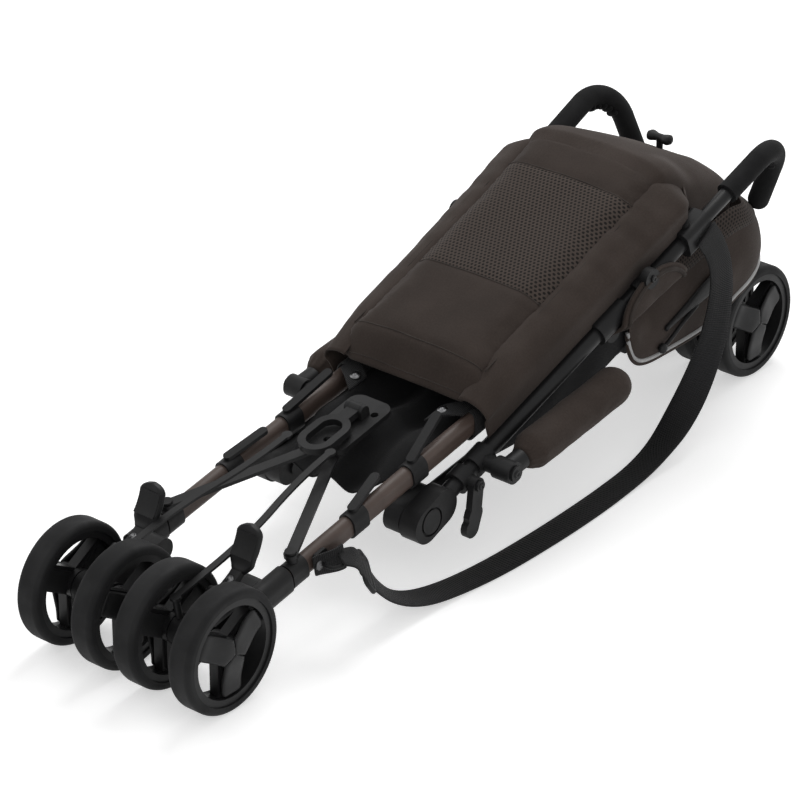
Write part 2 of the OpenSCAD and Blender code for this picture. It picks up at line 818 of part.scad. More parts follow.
module bumper_pad() {
    r = bumper_d / 2;
    core_d = 18;
    color("#3b302a") bumper_at() difference() {
        rotate([0, 90, 0]) rotate_extrude($fn = 64) {
            intersection() {
                union() {
                    translate([0, 26]) square([r - 8, bumper_len]);
                    translate([0, 26 + 14]) square([r, bumper_len - 14 - r]);
                    translate([r - 14, 26 + 14]) circle(r = 14);
                    translate([0, 26 + bumper_len - r]) circle(r = r);
                }
                translate([0, 26]) square([r, bumper_len]);
            }
        }
        along_x(20, 26 + bumper_len - r) circle(d = core_d);
    }
}

// Back panel: an arched pad between the main tubes, thinned at its hem
module back_panel() {
    crown = panel_r - sqrt(pow(panel_r, 2) - pow(panel_half, 2));
    top = panel_t + crown;
    color("#3d332e") place() main_frame() translate([panel_from, 0, panel_rise]) {
        rotate([0, panel_fall, 0]) intersection() {
            along_x(0, panel_len) intersection() {
                translate([0, top - panel_r]) circle(r = panel_r, $fn = 256);
                translate([-panel_half, 0]) square([2 * panel_half, top + cut_over]);
            }
            rotate([90, 0, 0]) linear_extrude(2 * panel_half + 2, center = true) polygon([
                [-cut_over, 0], [panel_len + cut_over, 0], [panel_len + cut_over, top + cut_over],
                [hem_run + 10, top + cut_over], [hem_run, panel_t], [-cut_over, hem_t]
            ]);
        }
    }
}

// Seat sling: folded cloth between the rear legs
module seat_sling() {
    from = clamp_x[2] + clamp_len;
    to = 600;
    half_from = leg_y + from * tan(leg_skew) - leg_w / 2 / cos(leg_skew) - rest_gap;
    half_to = leg_y + to * tan(leg_skew) - leg_w / 2 / cos(leg_skew) - rest_gap;
    color("#1a1a1b") place() leg_frame() translate([0, 0, -12]) linear_extrude(20) polygon([
        [from, -half_from], [to, -half_to], [to, half_to], [from, half_from]
    ]);
}

// Canopy hood, folded over the end of the back panel
module hood_side() {
    low = main_pt(hood_l, 0, 4);
    polygon(concat(
        [[low[0], low[2]]],
        arc_points(hood_mid, hood_r, hood_steep[0], hood_steep[1], 12),
        arc_points(hood_nose, hood_nose_r, hood_steep[1], 0, 6),
        [[hood_x, hood_nose[1] - hood_drop], [hood_x - 40, hood_nose[1] - hood_drop - 14]]
    ));
}

module hood_plan() {
    corner = hood_half - hood_plan_r;
    translate([hood_x - hood_reach, -hood_half]) square([hood_reach - hood_plan_r, 2 * hood_half]);
    translate([hood_x - hood_reach, -corner]) square([hood_reach, 2 * corner]);
    for (i = [-1, 1]) translate([hood_x - hood_plan_r, i * corner]) circle(r = hood_plan_r);
}

// Rounded section of the hood, run along its slope
module hood_section() {
    chord = hood_nose - [hood_from[0], hood_from[2]] + hood_nose_r * [cos(hood_steep[1]), sin(hood_steep[1])];
    bow = hood_r * (1 - cos((hood_steep[0] - hood_steep[1]) / 2));
    translate([hood_from[0], 0, hood_from[2]]) rotate([0, -atan2(chord[1], chord[0]), 0]) {
        along_x(-hood_reach, hood_reach) translate([0, bow - hood_reach / 2])
            rounded(2 * hood_half, hood_reach, hood_side_r);
    }
}

module canopy_hood() {
    color("#3d332e") place() difference() {
        intersection() {
            rotate([90, 0, 0]) linear_extrude(2 * hood_half + 2, center = true) hood_side();
            linear_extrude(2 * hood_reach) hood_plan();
            hood_section();
        }
        translate([knob_x, 0, knob_z - 14]) cylinder(h = 60, d = knob_stem + 2 * run_fit);
    }
}

module canopy_rod() {
    color("#29292a") place() translate(main_pt(clip_l, 0, clip_z)) rotate([90, 0, 0]) {
        cylinder(h = 2 * panel_half, d = rod_d, center = true);
    }
}

// Plan of the visor from its rear end
module visor_plan(half) {
    translate([0, -half]) square([nose_x - visor_from, 2 * half]);
    translate([nose_x - visor_from, 0]) circle(r = half, $fn = 72);
}

// Side view of the visor, with its rear lower corner rounded
module visor_side() {
    reach = nose_x - visor_from + visor_half + cut_over;
    polygon(concat(
        arc_points([visor_round, visor_round], visor_round, 270, 180, 8),
        [[visor_rake, visor_h], [reach, visor_h], [reach, 0]]
    ));
}

// Visor: a padded band round the nose that leans in towards the hood
module canopy_visor() {
    inner = visor_half - visor_wall;
    color("#3d332e") place() translate([visor_from, 0, visor_z]) rotate([0, -visor_tilt, 0]) intersection() {
        linear_extrude(visor_h, scale = visor_lean, slices = 1) difference() {
            visor_plan(visor_half);
            translate([-cut_over, 0]) visor_plan(inner);
        }
        rotate([90, 0, 0]) linear_extrude(2 * visor_half + 2 * cut_over, center = true) visor_side();
    }
}

// Side plates that carry the visor on the canopy rod
module visor_frame() {
    eye = main_pt(clip_l, 0, clip_z);
    out = (visor_half - visor_wall) * visor_lean[1];
    color("#1e1e1f") place() for (i = [0, 1]) mirror([0, i, 0]) {
        translate([0, out - rest_gap, 0]) rotate([90, 0, 0]) linear_extrude(visor_arm_w) difference() {
            union() {
                bar_2d([eye[0], eye[2]], [visor_from + 22, visor_arm_z], 20);
                bar_2d([visor_from + 22, visor_arm_z], [visor_from + 90, visor_arm_z - 2], 14);
            }
            translate([eye[0], eye[2]]) circle(d = rod_d + 2 * run_fit);
        }
    }
}

// Small T knob on the hood
module recline_knob() {
    color("#1b1b1c") place() translate([knob_x, 0, knob_z]) {
        translate([0, 0, -10]) cylinder(h = knob_rise + 8, d = knob_stem);
        translate([0, 0, knob_rise]) rotate([90, 0, 0]) cylinder(h = 32, d = knob_stem + 1, center = true);
    }
}

// Sweep of a flat eight sided section along the strap's route
function unit(v) = v / norm(v);
function strap_dir(i) = unit(strap_pts[min(i + 1, len(strap_pts) - 1)] - strap_pts[max(i - 1, 0)]);
function strap_ring(i) =
    let (
        t = strap_dir(i),
        w = unit(strap_across[i] - (strap_across[i] * t) * t),
        n = cross(t, w),
        a = strap_w / 2,
        b = strap_t / 2,
        c = 0.6
    )
    [for (k = [[a, -b + c], [a, b - c], [a - c, b], [c - a, b], [-a, b - c], [-a, c - b], [c - a, -b], [a - c, -b]])
        strap_pts[i] + k[0] * w + k[1] * n];

module carry_strap() {
    count = len(strap_pts);
    sides = 8;
    rings = [for (i = [0:count - 1]) each strap_ring(i)];
    quads = [for (i = [0:count - 2]) for (k = [0:sides - 1])
        let (a = i * sides + k, b = i * sides + (k + 1) % sides) each k < sides / 2
            ? [[a, b + sides, b], [a, a + sides, b + sides]]
            : [[a, a + sides, b], [b, a + sides, b + sides]]];
    ends = [for (k = [1:sides - 2]) each [
        [0, k, k + 1],
        [(count - 1) * sides, (count - 1) * sides + k + 1, (count - 1) * sides + k]
    ]];
    color("#141415") place() polyhedron(points = rings, faces = concat(quads, ends));
}

back_panel();
seat_sling();
canopy_hood();
canopy_rod();
canopy_visor();
visor_frame();
recline_knob();
hub_plate();
fold_ring();
lock_hook();
carry_strap();

for (i = [0, 1]) {
    s = SIDES[i];
    name = SIDE_NAMES[i];
    on_side(s) rear_leg();
    on_side(s) leg_clamps(s);
    on_side(s) axle_housing();
    on_side(s) brake_pedal();
    on_side(s) brake_link();
    on_side(s) brace_arm(s);
    on_side(s) main_tube();
    on_side(s) grip();
    on_side(s) main_brackets(s);
    on_side(s) joint_upper();
    on_side(s) side_gusset();
    on_side(s) front_leg();
    on_side(s) front_fittings();
    on_side(s) caster();
    on_side(s) bumper_pad();
    on_side(s) bumper_arm();
    for (outer = [false, true]) {
        place_name = outer ? "outer" : "inner";
        rear = str(name, "_rear_", place_name);
        front = str(name, "_front_", place_name);
        on_side(s) rear_wheel_at(outer) tyre();
        on_side(s) rear_wheel_at(outer) rim();
        on_side(s) front_wheel_at(outer) tyre();
        on_side(s) front_wheel_at(outer) rim();
    }
}
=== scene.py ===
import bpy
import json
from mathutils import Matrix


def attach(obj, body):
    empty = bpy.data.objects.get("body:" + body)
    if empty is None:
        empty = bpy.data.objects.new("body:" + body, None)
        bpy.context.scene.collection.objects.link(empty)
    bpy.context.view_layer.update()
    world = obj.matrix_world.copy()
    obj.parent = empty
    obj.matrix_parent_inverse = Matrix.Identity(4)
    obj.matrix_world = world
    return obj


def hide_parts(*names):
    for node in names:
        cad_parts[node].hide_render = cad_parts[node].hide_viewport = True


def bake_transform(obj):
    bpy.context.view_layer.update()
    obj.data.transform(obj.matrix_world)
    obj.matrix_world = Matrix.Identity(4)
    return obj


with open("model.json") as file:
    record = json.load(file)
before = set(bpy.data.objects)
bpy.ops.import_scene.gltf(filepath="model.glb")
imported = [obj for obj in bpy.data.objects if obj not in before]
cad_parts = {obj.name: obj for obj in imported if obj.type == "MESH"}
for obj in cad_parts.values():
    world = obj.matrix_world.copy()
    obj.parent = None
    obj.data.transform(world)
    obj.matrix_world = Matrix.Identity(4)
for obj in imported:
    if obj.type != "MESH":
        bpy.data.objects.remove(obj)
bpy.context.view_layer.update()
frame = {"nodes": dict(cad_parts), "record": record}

import json
import math
import bmesh
import bpy
from mathutils import Matrix, Vector, noise
from mathutils.bvhtree import BVHTree

scene = bpy.context.scene
mm = 0.001
weld = 1e-6
latheSteps = 24
fullTurn = 2 * math.pi
sides = {"right": -1, "left": 1}

# the frame's own lines, as in the part's source, in millimetres and degrees
lines = {"midX": 481.5, "jointX": 322, "jointZ": 84, "mainTilt": 21.5, "mainY": 109, "lean": 0.03,
         "pivotL": 334, "pivotDrop": 16, "wheelR": 70, "legY": 89}


def slope(angle):
    return Vector((math.cos(angle), 0, math.sin(angle)))


def upFrom(d):
    return Vector((-d.z, 0, d.x))


joint = Vector((lines["jointX"], 0, lines["jointZ"]))
mainDir = slope(math.radians(lines["mainTilt"]))
mainUp = upFrom(mainDir)
legTop = joint + mainDir * lines["pivotL"] - mainUp * lines["pivotDrop"]
legDir = (legTop - Vector((0, 0, lines["wheelR"]))).normalized()
legUp = upFrom(legDir)


# places by axle row, up the main tube from its lower joint, and up the rear leg from its axle
def rowPoint(x, y, z):
    return Vector((x - lines["midX"], y, z)) * mm


def mainPoint(l, y, z):
    return rowPoint(*(joint + Vector((0, y, 0)) + mainDir * l + mainUp * z))


def legPoint(x, y, z):
    return rowPoint(*(Vector((0, y, lines["wheelR"])) + legDir * x + legUp * z))


def tubeY(l):
    return lines["mainY"] + l * lines["lean"]


# shape helpers
def smooth(t):
    t = max(0, min(1, t))
    return t * t * (3 - 2 * t)


def rise(x, start, run):
    return smooth((x - start) / run)


def rounded(t, least=0.0):
    return math.sqrt(max(least, 1 - max(0, t) ** 2))


def boxed(wave, power):
    return math.copysign(abs(wave) ** power, wave)


def ripple(x, y, wave):
    high, rateX, rateY, seed = wave
    return high * noise.noise(Vector((x * rateX, y * rateY, seed)))


def span(a, b, steps):
    return [a + (b - a) * k / steps for k in range(steps + 1)]


def squareTo(d, along):
    return (d - along * d.dot(along)).normalized()


def curve(x, table):
    if x <= table[0][0]:
        return table[0][1]
    for i, ((a, va), (b, vb)) in enumerate(zip(table, table[1:])):
        if x <= b:
            before = table[max(i - 1, 0)]
            after = table[min(i + 2, len(table) - 1)]
            slopeA = (vb - before[1]) / (b - before[0])
            slopeB = (after[1] - va) / (after[0] - a)
            t = (x - a) / (b - a)
            bend = (t ** 3 - 2 * t ** 2 + t) * slopeA + (t ** 3 - t ** 2) * slopeB
            return va + (vb - va) * smooth(t) + (b - a) * bend
    return table[-1][1]


def splinePoints(points, steps):
    pts = [Vector(p) for p in points]
    full = [2 * pts[0] - pts[1]] + pts + [2 * pts[-1] - pts[-2]]
    out = []
    for a, b, c, d in zip(full, full[1:], full[2:], full[3:]):
        for k in range(steps):
            t = k / steps
            out.append(0.5 * (2 * b + (c - a) * t + (2 * a - 5 * b + 4 * c - d) * t ** 2
                              + (3 * b - a - 3 * c + d) * t ** 3))
    return out + [pts[-1]]


# camera, as fitted to the photograph
camSet = {"place": (-3.0215, -2.473, 2.197), "turn": 39.95, "drop": 27.93, "lens": 177.57, "sensor": 36,
          "far": 60}
camData = bpy.data.cameras.new("camera")
camData.lens = camSet["lens"]
camData.sensor_width = camSet["sensor"]
camData.clip_end = camSet["far"]
cam = bpy.data.objects.new("camera", camData)
scene.collection.objects.link(cam)
camTurn, camDrop = math.radians(camSet["turn"]), math.radians(camSet["drop"])
camLook = Vector((math.cos(camDrop) * math.cos(camTurn), math.cos(camDrop) * math.sin(camTurn),
                  -math.sin(camDrop)))
cam.location = camSet["place"]
cam.rotation_euler = camLook.to_track_quat("-Z", "Y").to_euler()
scene.camera = cam
scene.view_settings.view_transform = "Standard"
print("camera set")


# node helpers
def link(tree, a, b):
    tree.links.new(a, b)


def mathNode(tree, kind, a, b=None, c=None):
    n = tree.nodes.new("ShaderNodeMath")
    n.operation = kind
    for i, v in enumerate((a, b, c)):
        if v is None:
            continue
        if isinstance(v, (int, float)):
            n.inputs[i].default_value = v
        else:
            link(tree, v, n.inputs[i])
    return n.outputs[0]


def times(tree, a, b):
    return mathNode(tree, "MULTIPLY", a, b)


def halfWave(tree, wave):
    return mathNode(tree, "MULTIPLY_ADD", wave, 0.5, 0.5)


def splitNode(tree, vector):
    n = tree.nodes.new("ShaderNodeSeparateXYZ")
    link(tree, vector, n.inputs[0])
    return n.outputs


def mapRange(tree, value, fromLow, fromHigh, toLow=0.0, toHigh=1.0):
    n = tree.nodes.new("ShaderNodeMapRange")
    n.interpolation_type = "SMOOTHSTEP"
    link(tree, value, n.inputs["Value"])
    for name, v in (("From Min", fromLow), ("From Max", fromHigh), ("To Min", toLow), ("To Max", toHigh)):
        n.inputs[name].default_value = v
    return n.outputs["Result"]


def mixColour(tree, factor, a, b):
    n = tree.nodes.new("ShaderNodeMix")
    n.data_type = "RGBA"
    for socket, v in ((n.inputs[0], factor), (n.inputs[6], a), (n.inputs[7], b)):
        if isinstance(v, (tuple, list)):
            socket.default_value = (*v, 1)
        else:
            link(tree, v, socket)
    return n.outputs[2]


def newGroup(name, amount, start, outs):
    g = bpy.data.node_groups.new(name, "ShaderNodeTree")
    g.interface.new_socket(name="Vector", in_out="INPUT", socket_type="NodeSocketVector")
    g.interface.new_socket(name=amount, in_out="INPUT", socket_type="NodeSocketFloat").default_value = start
    for n in outs:
        g.interface.new_socket(name=n, in_out="OUTPUT", socket_type="NodeSocketFloat")
    return g, g.nodes.new("NodeGroupInput").outputs, g.nodes.new("NodeGroupOutput").inputs


def useGroup(tree, group, vector, **values):
    n = tree.nodes.new("ShaderNodeGroup")
    n.node_tree = group
    link(tree, vector, n.inputs["Vector"])
    for k, v in values.items():
        n.inputs[k].default_value = v
    return n.outputs


def noiseNode(tree, vector, scale, detail):
    n = tree.nodes.new("ShaderNodeTexNoise")
    n.inputs["Scale"].default_value = scale
    n.inputs["Detail"].default_value = detail
    link(tree, vector, n.inputs["Vector"])
    return n.outputs["Fac"]


# shared effects: woven threads, moulded grain with scuffs, and the holes of a net
weaveSet = {"broad": (14, 4), "broadShare": 0.7, "fine": (420, 2), "fineShare": 0.3, "ends": (0.3, 0.7)}
grainSet = {"shade": (22, 5), "shadeEnds": (0.32, 0.68), "scuff": (75, 6), "scuffEnds": (0.58, 0.72)}
holeSet = {"rowStep": 0.866, "shift": 400, "rim": (0.36, 0.26)}


def weaveEffect():
    g, i, o = newGroup("clothWeave", "Threads", 900.0, ("Height", "Shade"))
    axes = splitNode(g, i["Vector"])
    waves = [mathNode(g, "SINE", times(g, axes[k], times(g, i["Threads"], math.pi))) for k in (0, 1)]
    link(g, halfWave(g, times(g, *waves)), o["Height"])
    broad = noiseNode(g, i["Vector"], *weaveSet["broad"])
    fine = noiseNode(g, i["Vector"], *weaveSet["fine"])
    both = mathNode(g, "ADD", times(g, broad, weaveSet["broadShare"]), times(g, fine, weaveSet["fineShare"]))
    link(g, mapRange(g, both, *weaveSet["ends"]), o["Shade"])
    return g


def grainEffect():
    g, i, o = newGroup("mouldGrain", "Scale", 900.0, ("Height", "Shade", "Scuff"))
    cell = g.nodes.new("ShaderNodeTexVoronoi")
    link(g, i["Vector"], cell.inputs["Vector"])
    link(g, i["Scale"], cell.inputs["Scale"])
    link(g, cell.outputs["Distance"], o["Height"])
    link(g, mapRange(g, noiseNode(g, i["Vector"], *grainSet["shade"]), *grainSet["shadeEnds"]), o["Shade"])
    link(g, mapRange(g, noiseNode(g, i["Vector"], *grainSet["scuff"]), *grainSet["scuffEnds"]), o["Scuff"])
    return g


def holeEffect():
    g, i, o = newGroup("meshHoles", "Pitch", 0.005, ("Hole", "Height"))
    axes = splitNode(g, i["Vector"])
    across, along = [mathNode(g, "DIVIDE", axes[k], i["Pitch"]) for k in (0, 1)]
    row = mathNode(g, "ADD", mathNode(g, "DIVIDE", along, holeSet["rowStep"]), holeSet["shift"])
    odd = mathNode(g, "MODULO", mathNode(g, "FLOOR", row), 2)
    shifted = mathNode(g, "ADD", mathNode(g, "MULTIPLY_ADD", odd, 0.5, across), holeSet["shift"])
    du = mathNode(g, "SUBTRACT", mathNode(g, "FRACT", shifted), 0.5)
    dv = times(g, mathNode(g, "SUBTRACT", mathNode(g, "FRACT", row), 0.5), holeSet["rowStep"])
    far = mathNode(g, "SQRT", mathNode(g, "ADD", mathNode(g, "POWER", du, 2), mathNode(g, "POWER", dv, 2)))
    hole = mapRange(g, far, *holeSet["rim"])
    link(g, hole, o["Hole"])
    link(g, mathNode(g, "SUBTRACT", 1, hole), o["Height"])
    return g


weave, grain, holes = weaveEffect(), grainEffect(), holeEffect()


# finishes
def newMaterial(name, rough, metal=0.0, sheen=0.0, specular=0.5):
    m = bpy.data.materials.new(name)
    m.use_nodes = True
    t = m.node_tree
    b = t.nodes["Principled BSDF"]
    b.inputs["Roughness"].default_value = rough
    b.inputs["Metallic"].default_value = metal
    b.inputs["Specular IOR Level"].default_value = specular
    if sheen:
        b.inputs["Sheen Weight"].default_value = sheen
        b.inputs["Sheen Roughness"].default_value = 0.6
    return m, t, b, t.nodes.new("ShaderNodeTexCoord").outputs


def bumpTo(t, b, height, strength, distance):
    n = t.nodes.new("ShaderNodeBump")
    n.inputs["Strength"].default_value = strength
    n.inputs["Distance"].default_value = distance
    link(t, height, n.inputs["Height"])
    link(t, n.outputs["Normal"], b.inputs["Normal"])


def toned(colour, gain, add=0.0):
    return tuple(min(1, c * gain + add) for c in colour)


fineBump = 0.0004
wornSet = {"gain": 1.9, "add": 0.012}


def mouldedFinish(name, dark, light, rough, scale, bump, scuff, metal=0.0, specular=0.5):
    m, t, b, coords = newMaterial(name, rough[0], metal, specular=specular)
    g = useGroup(t, grain, coords["Object"], Scale=scale)
    tone = mixColour(t, g["Shade"], dark, light)
    worn = mixColour(t, times(t, g["Scuff"], scuff), tone, toned(light, **wornSet))
    link(t, worn, b.inputs["Base Color"])
    link(t, mapRange(t, g["Shade"], 0, 1, *rough), b.inputs["Roughness"])
    bumpTo(t, b, g["Height"], bump, fineBump)
    return m


# thread is the share and gain the brightness of the painted highlight on the raised threads of the weave
softSet = {"rough": 0.86, "sheen": 0.04, "specular": 0.12, "roughEnds": (0.88, 0.74), "thread": 0.35,
           "gain": 1.35}


def clothFinish(name, dark, light, threads, bump, sheen):
    m, t, b, coords = newMaterial(name, softSet["rough"], sheen=sheen, specular=softSet["specular"])
    g = useGroup(t, weave, coords["UV"], Threads=threads)
    tone = mixColour(t, g["Shade"], dark, light)
    # painted highlight: the raised threads of the weave are painted lighter than the hollows between them,
    # which stay darker as painted shade
    tone = mixColour(t, times(t, g["Height"], softSet["thread"]), tone, toned(light, softSet["gain"]))
    link(t, tone, b.inputs["Base Color"])
    link(t, mapRange(t, g["Shade"], 0, 1, *softSet["roughEnds"]), b.inputs["Roughness"])
    bumpTo(t, b, g["Height"], bump, fineBump)
    return m


netSet = {"rough": 0.84, "threads": 1400, "dark": 0.85, "bump": 0.6, "deep": 0.0012}


def netFinish(name, strand, holeShade, pitch):
    m, t, b, coords = newMaterial(name, netSet["rough"], sheen=softSet["sheen"], specular=softSet["specular"])
    h = useGroup(t, holes, coords["UV"], Pitch=pitch)
    w = useGroup(t, weave, coords["UV"], Threads=netSet["threads"])
    tone = mixColour(t, w["Shade"], toned(strand, netSet["dark"]), strand)
    # painted shade: the net's holes are painted near black for the shade seen through them
    link(t, mixColour(t, h["Hole"], tone, holeShade), b.inputs["Base Color"])
    bumpTo(t, b, h["Height"], netSet["bump"], netSet["deep"])
    return m


# the padded back has cloth, and a net window sewn in between two cross seams; the net's holes are painted
# near black as painted shade seen through the net
windowSet = {"low": 0.272, "high": 0.446, "half": 0.0945, "edge": 0.0015, "pitch": 0.0052, "threads": 1100,
             "netBump": 0.9, "clothBump": 0.25, "bump": 0.5, "deep": 0.0010}


def backFinish(name, dark, light, strand, holeShade):
    m, t, b, coords = newMaterial(name, softSet["rough"], sheen=softSet["sheen"],
                                  specular=softSet["specular"])
    c = useGroup(t, weave, coords["UV"], Threads=windowSet["threads"])
    h = useGroup(t, holes, coords["UV"], Pitch=windowSet["pitch"])
    across, along, _ = splitNode(t, coords["UV"])
    e = windowSet["edge"]
    above = mapRange(t, along, windowSet["low"] - e, windowSet["low"] + e)
    below = mapRange(t, along, windowSet["high"] + e, windowSet["high"] - e)
    inside = mapRange(t, mathNode(t, "ABSOLUTE", across), windowSet["half"] + e, windowSet["half"] - e)
    window = times(t, times(t, above, below), inside)
    cloth = mixColour(t, c["Shade"], dark, light)
    # painted shade: the window net's holes are painted near black for the shade seen through them
    net = mixColour(t, h["Hole"], strand, holeShade)
    link(t, mixColour(t, window, cloth, net), b.inputs["Base Color"])
    netHeight = times(t, times(t, h["Height"], window), windowSet["netBump"])
    height = mathNode(t, "ADD", netHeight, times(t, c["Height"], windowSet["clothBump"]))
    bumpTo(t, b, height, windowSet["bump"], windowSet["deep"])
    return m


ribSet = {"rough": 0.68, "specular": 0.16, "cross": 900, "crossBump": 0.08, "threads": 700, "shade": 0.4,
          "gain": 1.3, "bump": 0.7, "deep": 0.0009}


def ribFinish(name, dark, light, ribs):
    m, t, b, coords = newMaterial(name, ribSet["rough"], sheen=softSet["sheen"], specular=ribSet["specular"])
    across, along, _ = splitNode(t, coords["UV"])
    high = halfWave(t, mathNode(t, "SINE", times(t, along, ribs * fullTurn)))
    cross = mathNode(t, "SINE", times(t, across, ribSet["cross"] * math.pi))
    w = useGroup(t, weave, coords["UV"], Threads=ribSet["threads"])
    # painted highlight and shade: the rib crests take the light tone and the grooves between them the dark
    # tone
    tone = mixColour(t, high, dark, light)
    tone = mixColour(t, times(t, w["Shade"], ribSet["shade"]), tone, toned(light, ribSet["gain"]))
    link(t, tone, b.inputs["Base Color"])
    height = mathNode(t, "MULTIPLY_ADD", cross, ribSet["crossBump"], high)
    bumpTo(t, b, height, ribSet["bump"], ribSet["deep"])
    return m


# one row a finish: name, dark and light tone, roughness, grain scale, bump, scuffs and specular level
mouldedSet = {
    "leg_brown": ("brownTube", (0.062, 0.044, 0.037), (0.078, 0.056, 0.047), (0.52, 0.42),
                  2600, 0.05, 0.05, 0.3),
    "tube_black": ("blackTube", (0.007, 0.007, 0.0074), (0.011, 0.011, 0.0114), (0.44, 0.36),
                   2400, 0.05, 0.06, 0.2),
    "bar_black": ("blackBar", (0.008, 0.008, 0.0084), (0.013, 0.013, 0.0134), (0.48, 0.38),
                  2000, 0.06, 0.12, 0.2),
    "plastic_black": ("blackPlastic", (0.0075, 0.0075, 0.0078), (0.0115, 0.0115, 0.012), (0.56, 0.44),
                      1500, 0.12, 0.08, 0.18),
    "rim_black": ("wheelPlastic", (0.008, 0.008, 0.0084), (0.0125, 0.0125, 0.013), (0.48, 0.38),
                  1600, 0.08, 0.10, 0.2),
    "tyre_black": ("tyreRubber", (0.007, 0.007, 0.0074), (0.0105, 0.0105, 0.011), (0.74, 0.62),
                   1900, 0.16, 0.10, 0.18),
    "foam_black": ("gripFoam", (0.0075, 0.0075, 0.0078), (0.011, 0.011, 0.0114), (0.9, 0.8),
                   2600, 0.30, 0.05, 0.14),
}
finishes = {slot: mouldedFinish(*row[:-1], specular=row[-1]) for slot, row in mouldedSet.items()}
brown = ((0.029, 0.0215, 0.018), (0.044, 0.033, 0.028))
# painted shade seen through the holes of the nets
netHoleShade = (0.010, 0.008, 0.007)
finishes["fabric_brown"] = clothFinish("brownCloth", *brown, 1100, 0.22, 0.04)
finishes["fabric_black"] = clothFinish("blackCloth", (0.0065, 0.0065, 0.007), (0.011, 0.011, 0.0115),
                                       900, 0.25, 0.03)
finishes["webbing_black"] = ribFinish("blackWebbing", (0.005, 0.005, 0.0055), (0.013, 0.013, 0.0135), 420)
backCloth = backFinish("backCloth", *brown, (0.062, 0.048, 0.041), netHoleShade)
netCloth = netFinish("brownNet", (0.052, 0.040, 0.034), netHoleShade, 0.0044)
pipingGrey = mouldedFinish("greyPiping", (0.30, 0.30, 0.30), (0.42, 0.42, 0.42), (0.5, 0.4), 3000, 0.1, 0.05)
steel = mouldedFinish("rivetSteel", (0.10, 0.10, 0.103), (0.17, 0.17, 0.173), (0.40, 0.30),
                      1800, 0.04, 0.1, metal=1.0)
threadBrown = mouldedFinish("seamThread", (0.020, 0.015, 0.0125), (0.030, 0.023, 0.019), (0.85, 0.75),
                            2600, 0.2, 0.0, specular=0.3)
print("finishes made")


# mesh helpers
def paintUv(bm, spot):
    uv = bm.loops.layers.uv.verify()
    for f in bm.faces:
        for loop in f.loops:
            loop[uv].uv = spot(loop.vert.co)


def loft(shape, across, along, flat=(1.0, 1.0), closed=False, capped=False):
    bm = bmesh.new()
    bm.loops.layers.uv.new("cloth")
    bmesh.ops.create_grid(bm, x_segments=across, y_segments=along, size=0.5, calc_uvs=True)
    paintUv(bm, lambda p: ((p.x + 0.5) * flat[0], (p.y + 0.5) * flat[1]))
    for v in bm.verts:
        v.co = shape(v.co.x + 0.5, v.co.y + 0.5)
    if closed:
        bmesh.ops.remove_doubles(bm, verts=bm.verts, dist=weld)
    if capped:
        bmesh.ops.holes_fill(bm, edges=[e for e in bm.edges if e.is_boundary], sides=0)
    bmesh.ops.recalc_face_normals(bm, faces=bm.faces)
    return bm


def lathe(profile, place, axis):
    bm = bmesh.new()
    bm.loops.layers.uv.new("cloth")
    ring = [bm.verts.new((r * mm, 0, h * mm)) for r, h in profile]
    edges = [bm.edges.new(pair) for pair in zip(ring, ring[1:])]
    bmesh.ops.spin(bm, geom=ring + edges, axis=(0, 0, 1), cent=(0, 0, 0), angle=fullTurn, steps=latheSteps,
                   use_merge=True)
    bmesh.ops.remove_doubles(bm, verts=bm.verts, dist=weld)
    bmesh.ops.recalc_face_normals(bm, faces=bm.faces)
    turned = Vector(axis).to_track_quat("Z", "X").to_matrix().to_4x4()
    bmesh.ops.transform(bm, matrix=Matrix.Translation(place) @ turned, verts=bm.verts)
    return bm


def tubeShape(points, radius, tip=0.0):
    count = len(points) - 1

    def shape(u, v):
        k = v * count
        i = min(int(k), count - 1)
        p = points[i].lerp(points[i + 1], k - i)
        along = (points[min(i + 2, count)] - points[max(i - 1, 0)]).normalized()
        side = along.cross(Vector((0, 0, 1)))
        if side.length < 0.2:  # too steep for the upright
            side = along.cross(Vector((0, 1, 0)))
        side.normalize()
        near = min(v, 1 - v)
        r = radius * max(0.15, rounded(1 - near / tip)) if tip and near < tip else radius
        a = fullTurn * u
        return p + (side * math.cos(a) + side.cross(along) * math.sin(a)) * r
    return shape


def rod(points, radius, around, flat=(1.0, 1.0)):
    return loft(tubeShape(points, radius), around, len(points) - 1, flat, closed=True, capped=True)


def pieceFrom(bm, name, slot, body=None, looks=()):
    mesh = bpy.data.meshes.new(name)
    bm.to_mesh(mesh)
    bm.free()
    obj = bpy.data.objects.new(name, mesh)
    scene.collection.objects.link(obj)
    for finish in looks or (finishes[slot],):
        mesh.materials.append(finish)
    for p in mesh.polygons:
        p.use_smooth = True
    if body:
        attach(obj, body)
    return obj


def addModifier(obj, kind, **values):
    m = obj.modifiers.new(kind.lower(), kind)
    for k, v in values.items():
        setattr(m, k, v)


def subdivide(obj):
    addModifier(obj, "SUBSURF", levels=1, render_levels=1)


def thicken(obj, amount):
    addModifier(obj, "SOLIDIFY", thickness=amount, offset=0.0, edge_crease_inner=1, edge_crease_outer=1,
                edge_crease_rim=1)


def forSide(bm, s):
    if s < 0:
        bmesh.ops.scale(bm, vec=(1, -1, 1), verts=bm.verts)
        bmesh.ops.reverse_faces(bm, faces=bm.faces)
    return bm


def joinMeshes(target, extra, material=0):
    mesh = bpy.data.meshes.new("joined")
    for f in extra.faces:
        f.material_index = material
    extra.to_mesh(mesh)
    extra.free()
    target.from_mesh(mesh)
    bpy.data.meshes.remove(mesh)


# padded cloth: remeshed, swollen by cloth pressure, and kept near its first shape
puffSet = {"quality": 5, "mass": 0.25, "stiff": 12, "pressure": 4.0, "steps": 20}


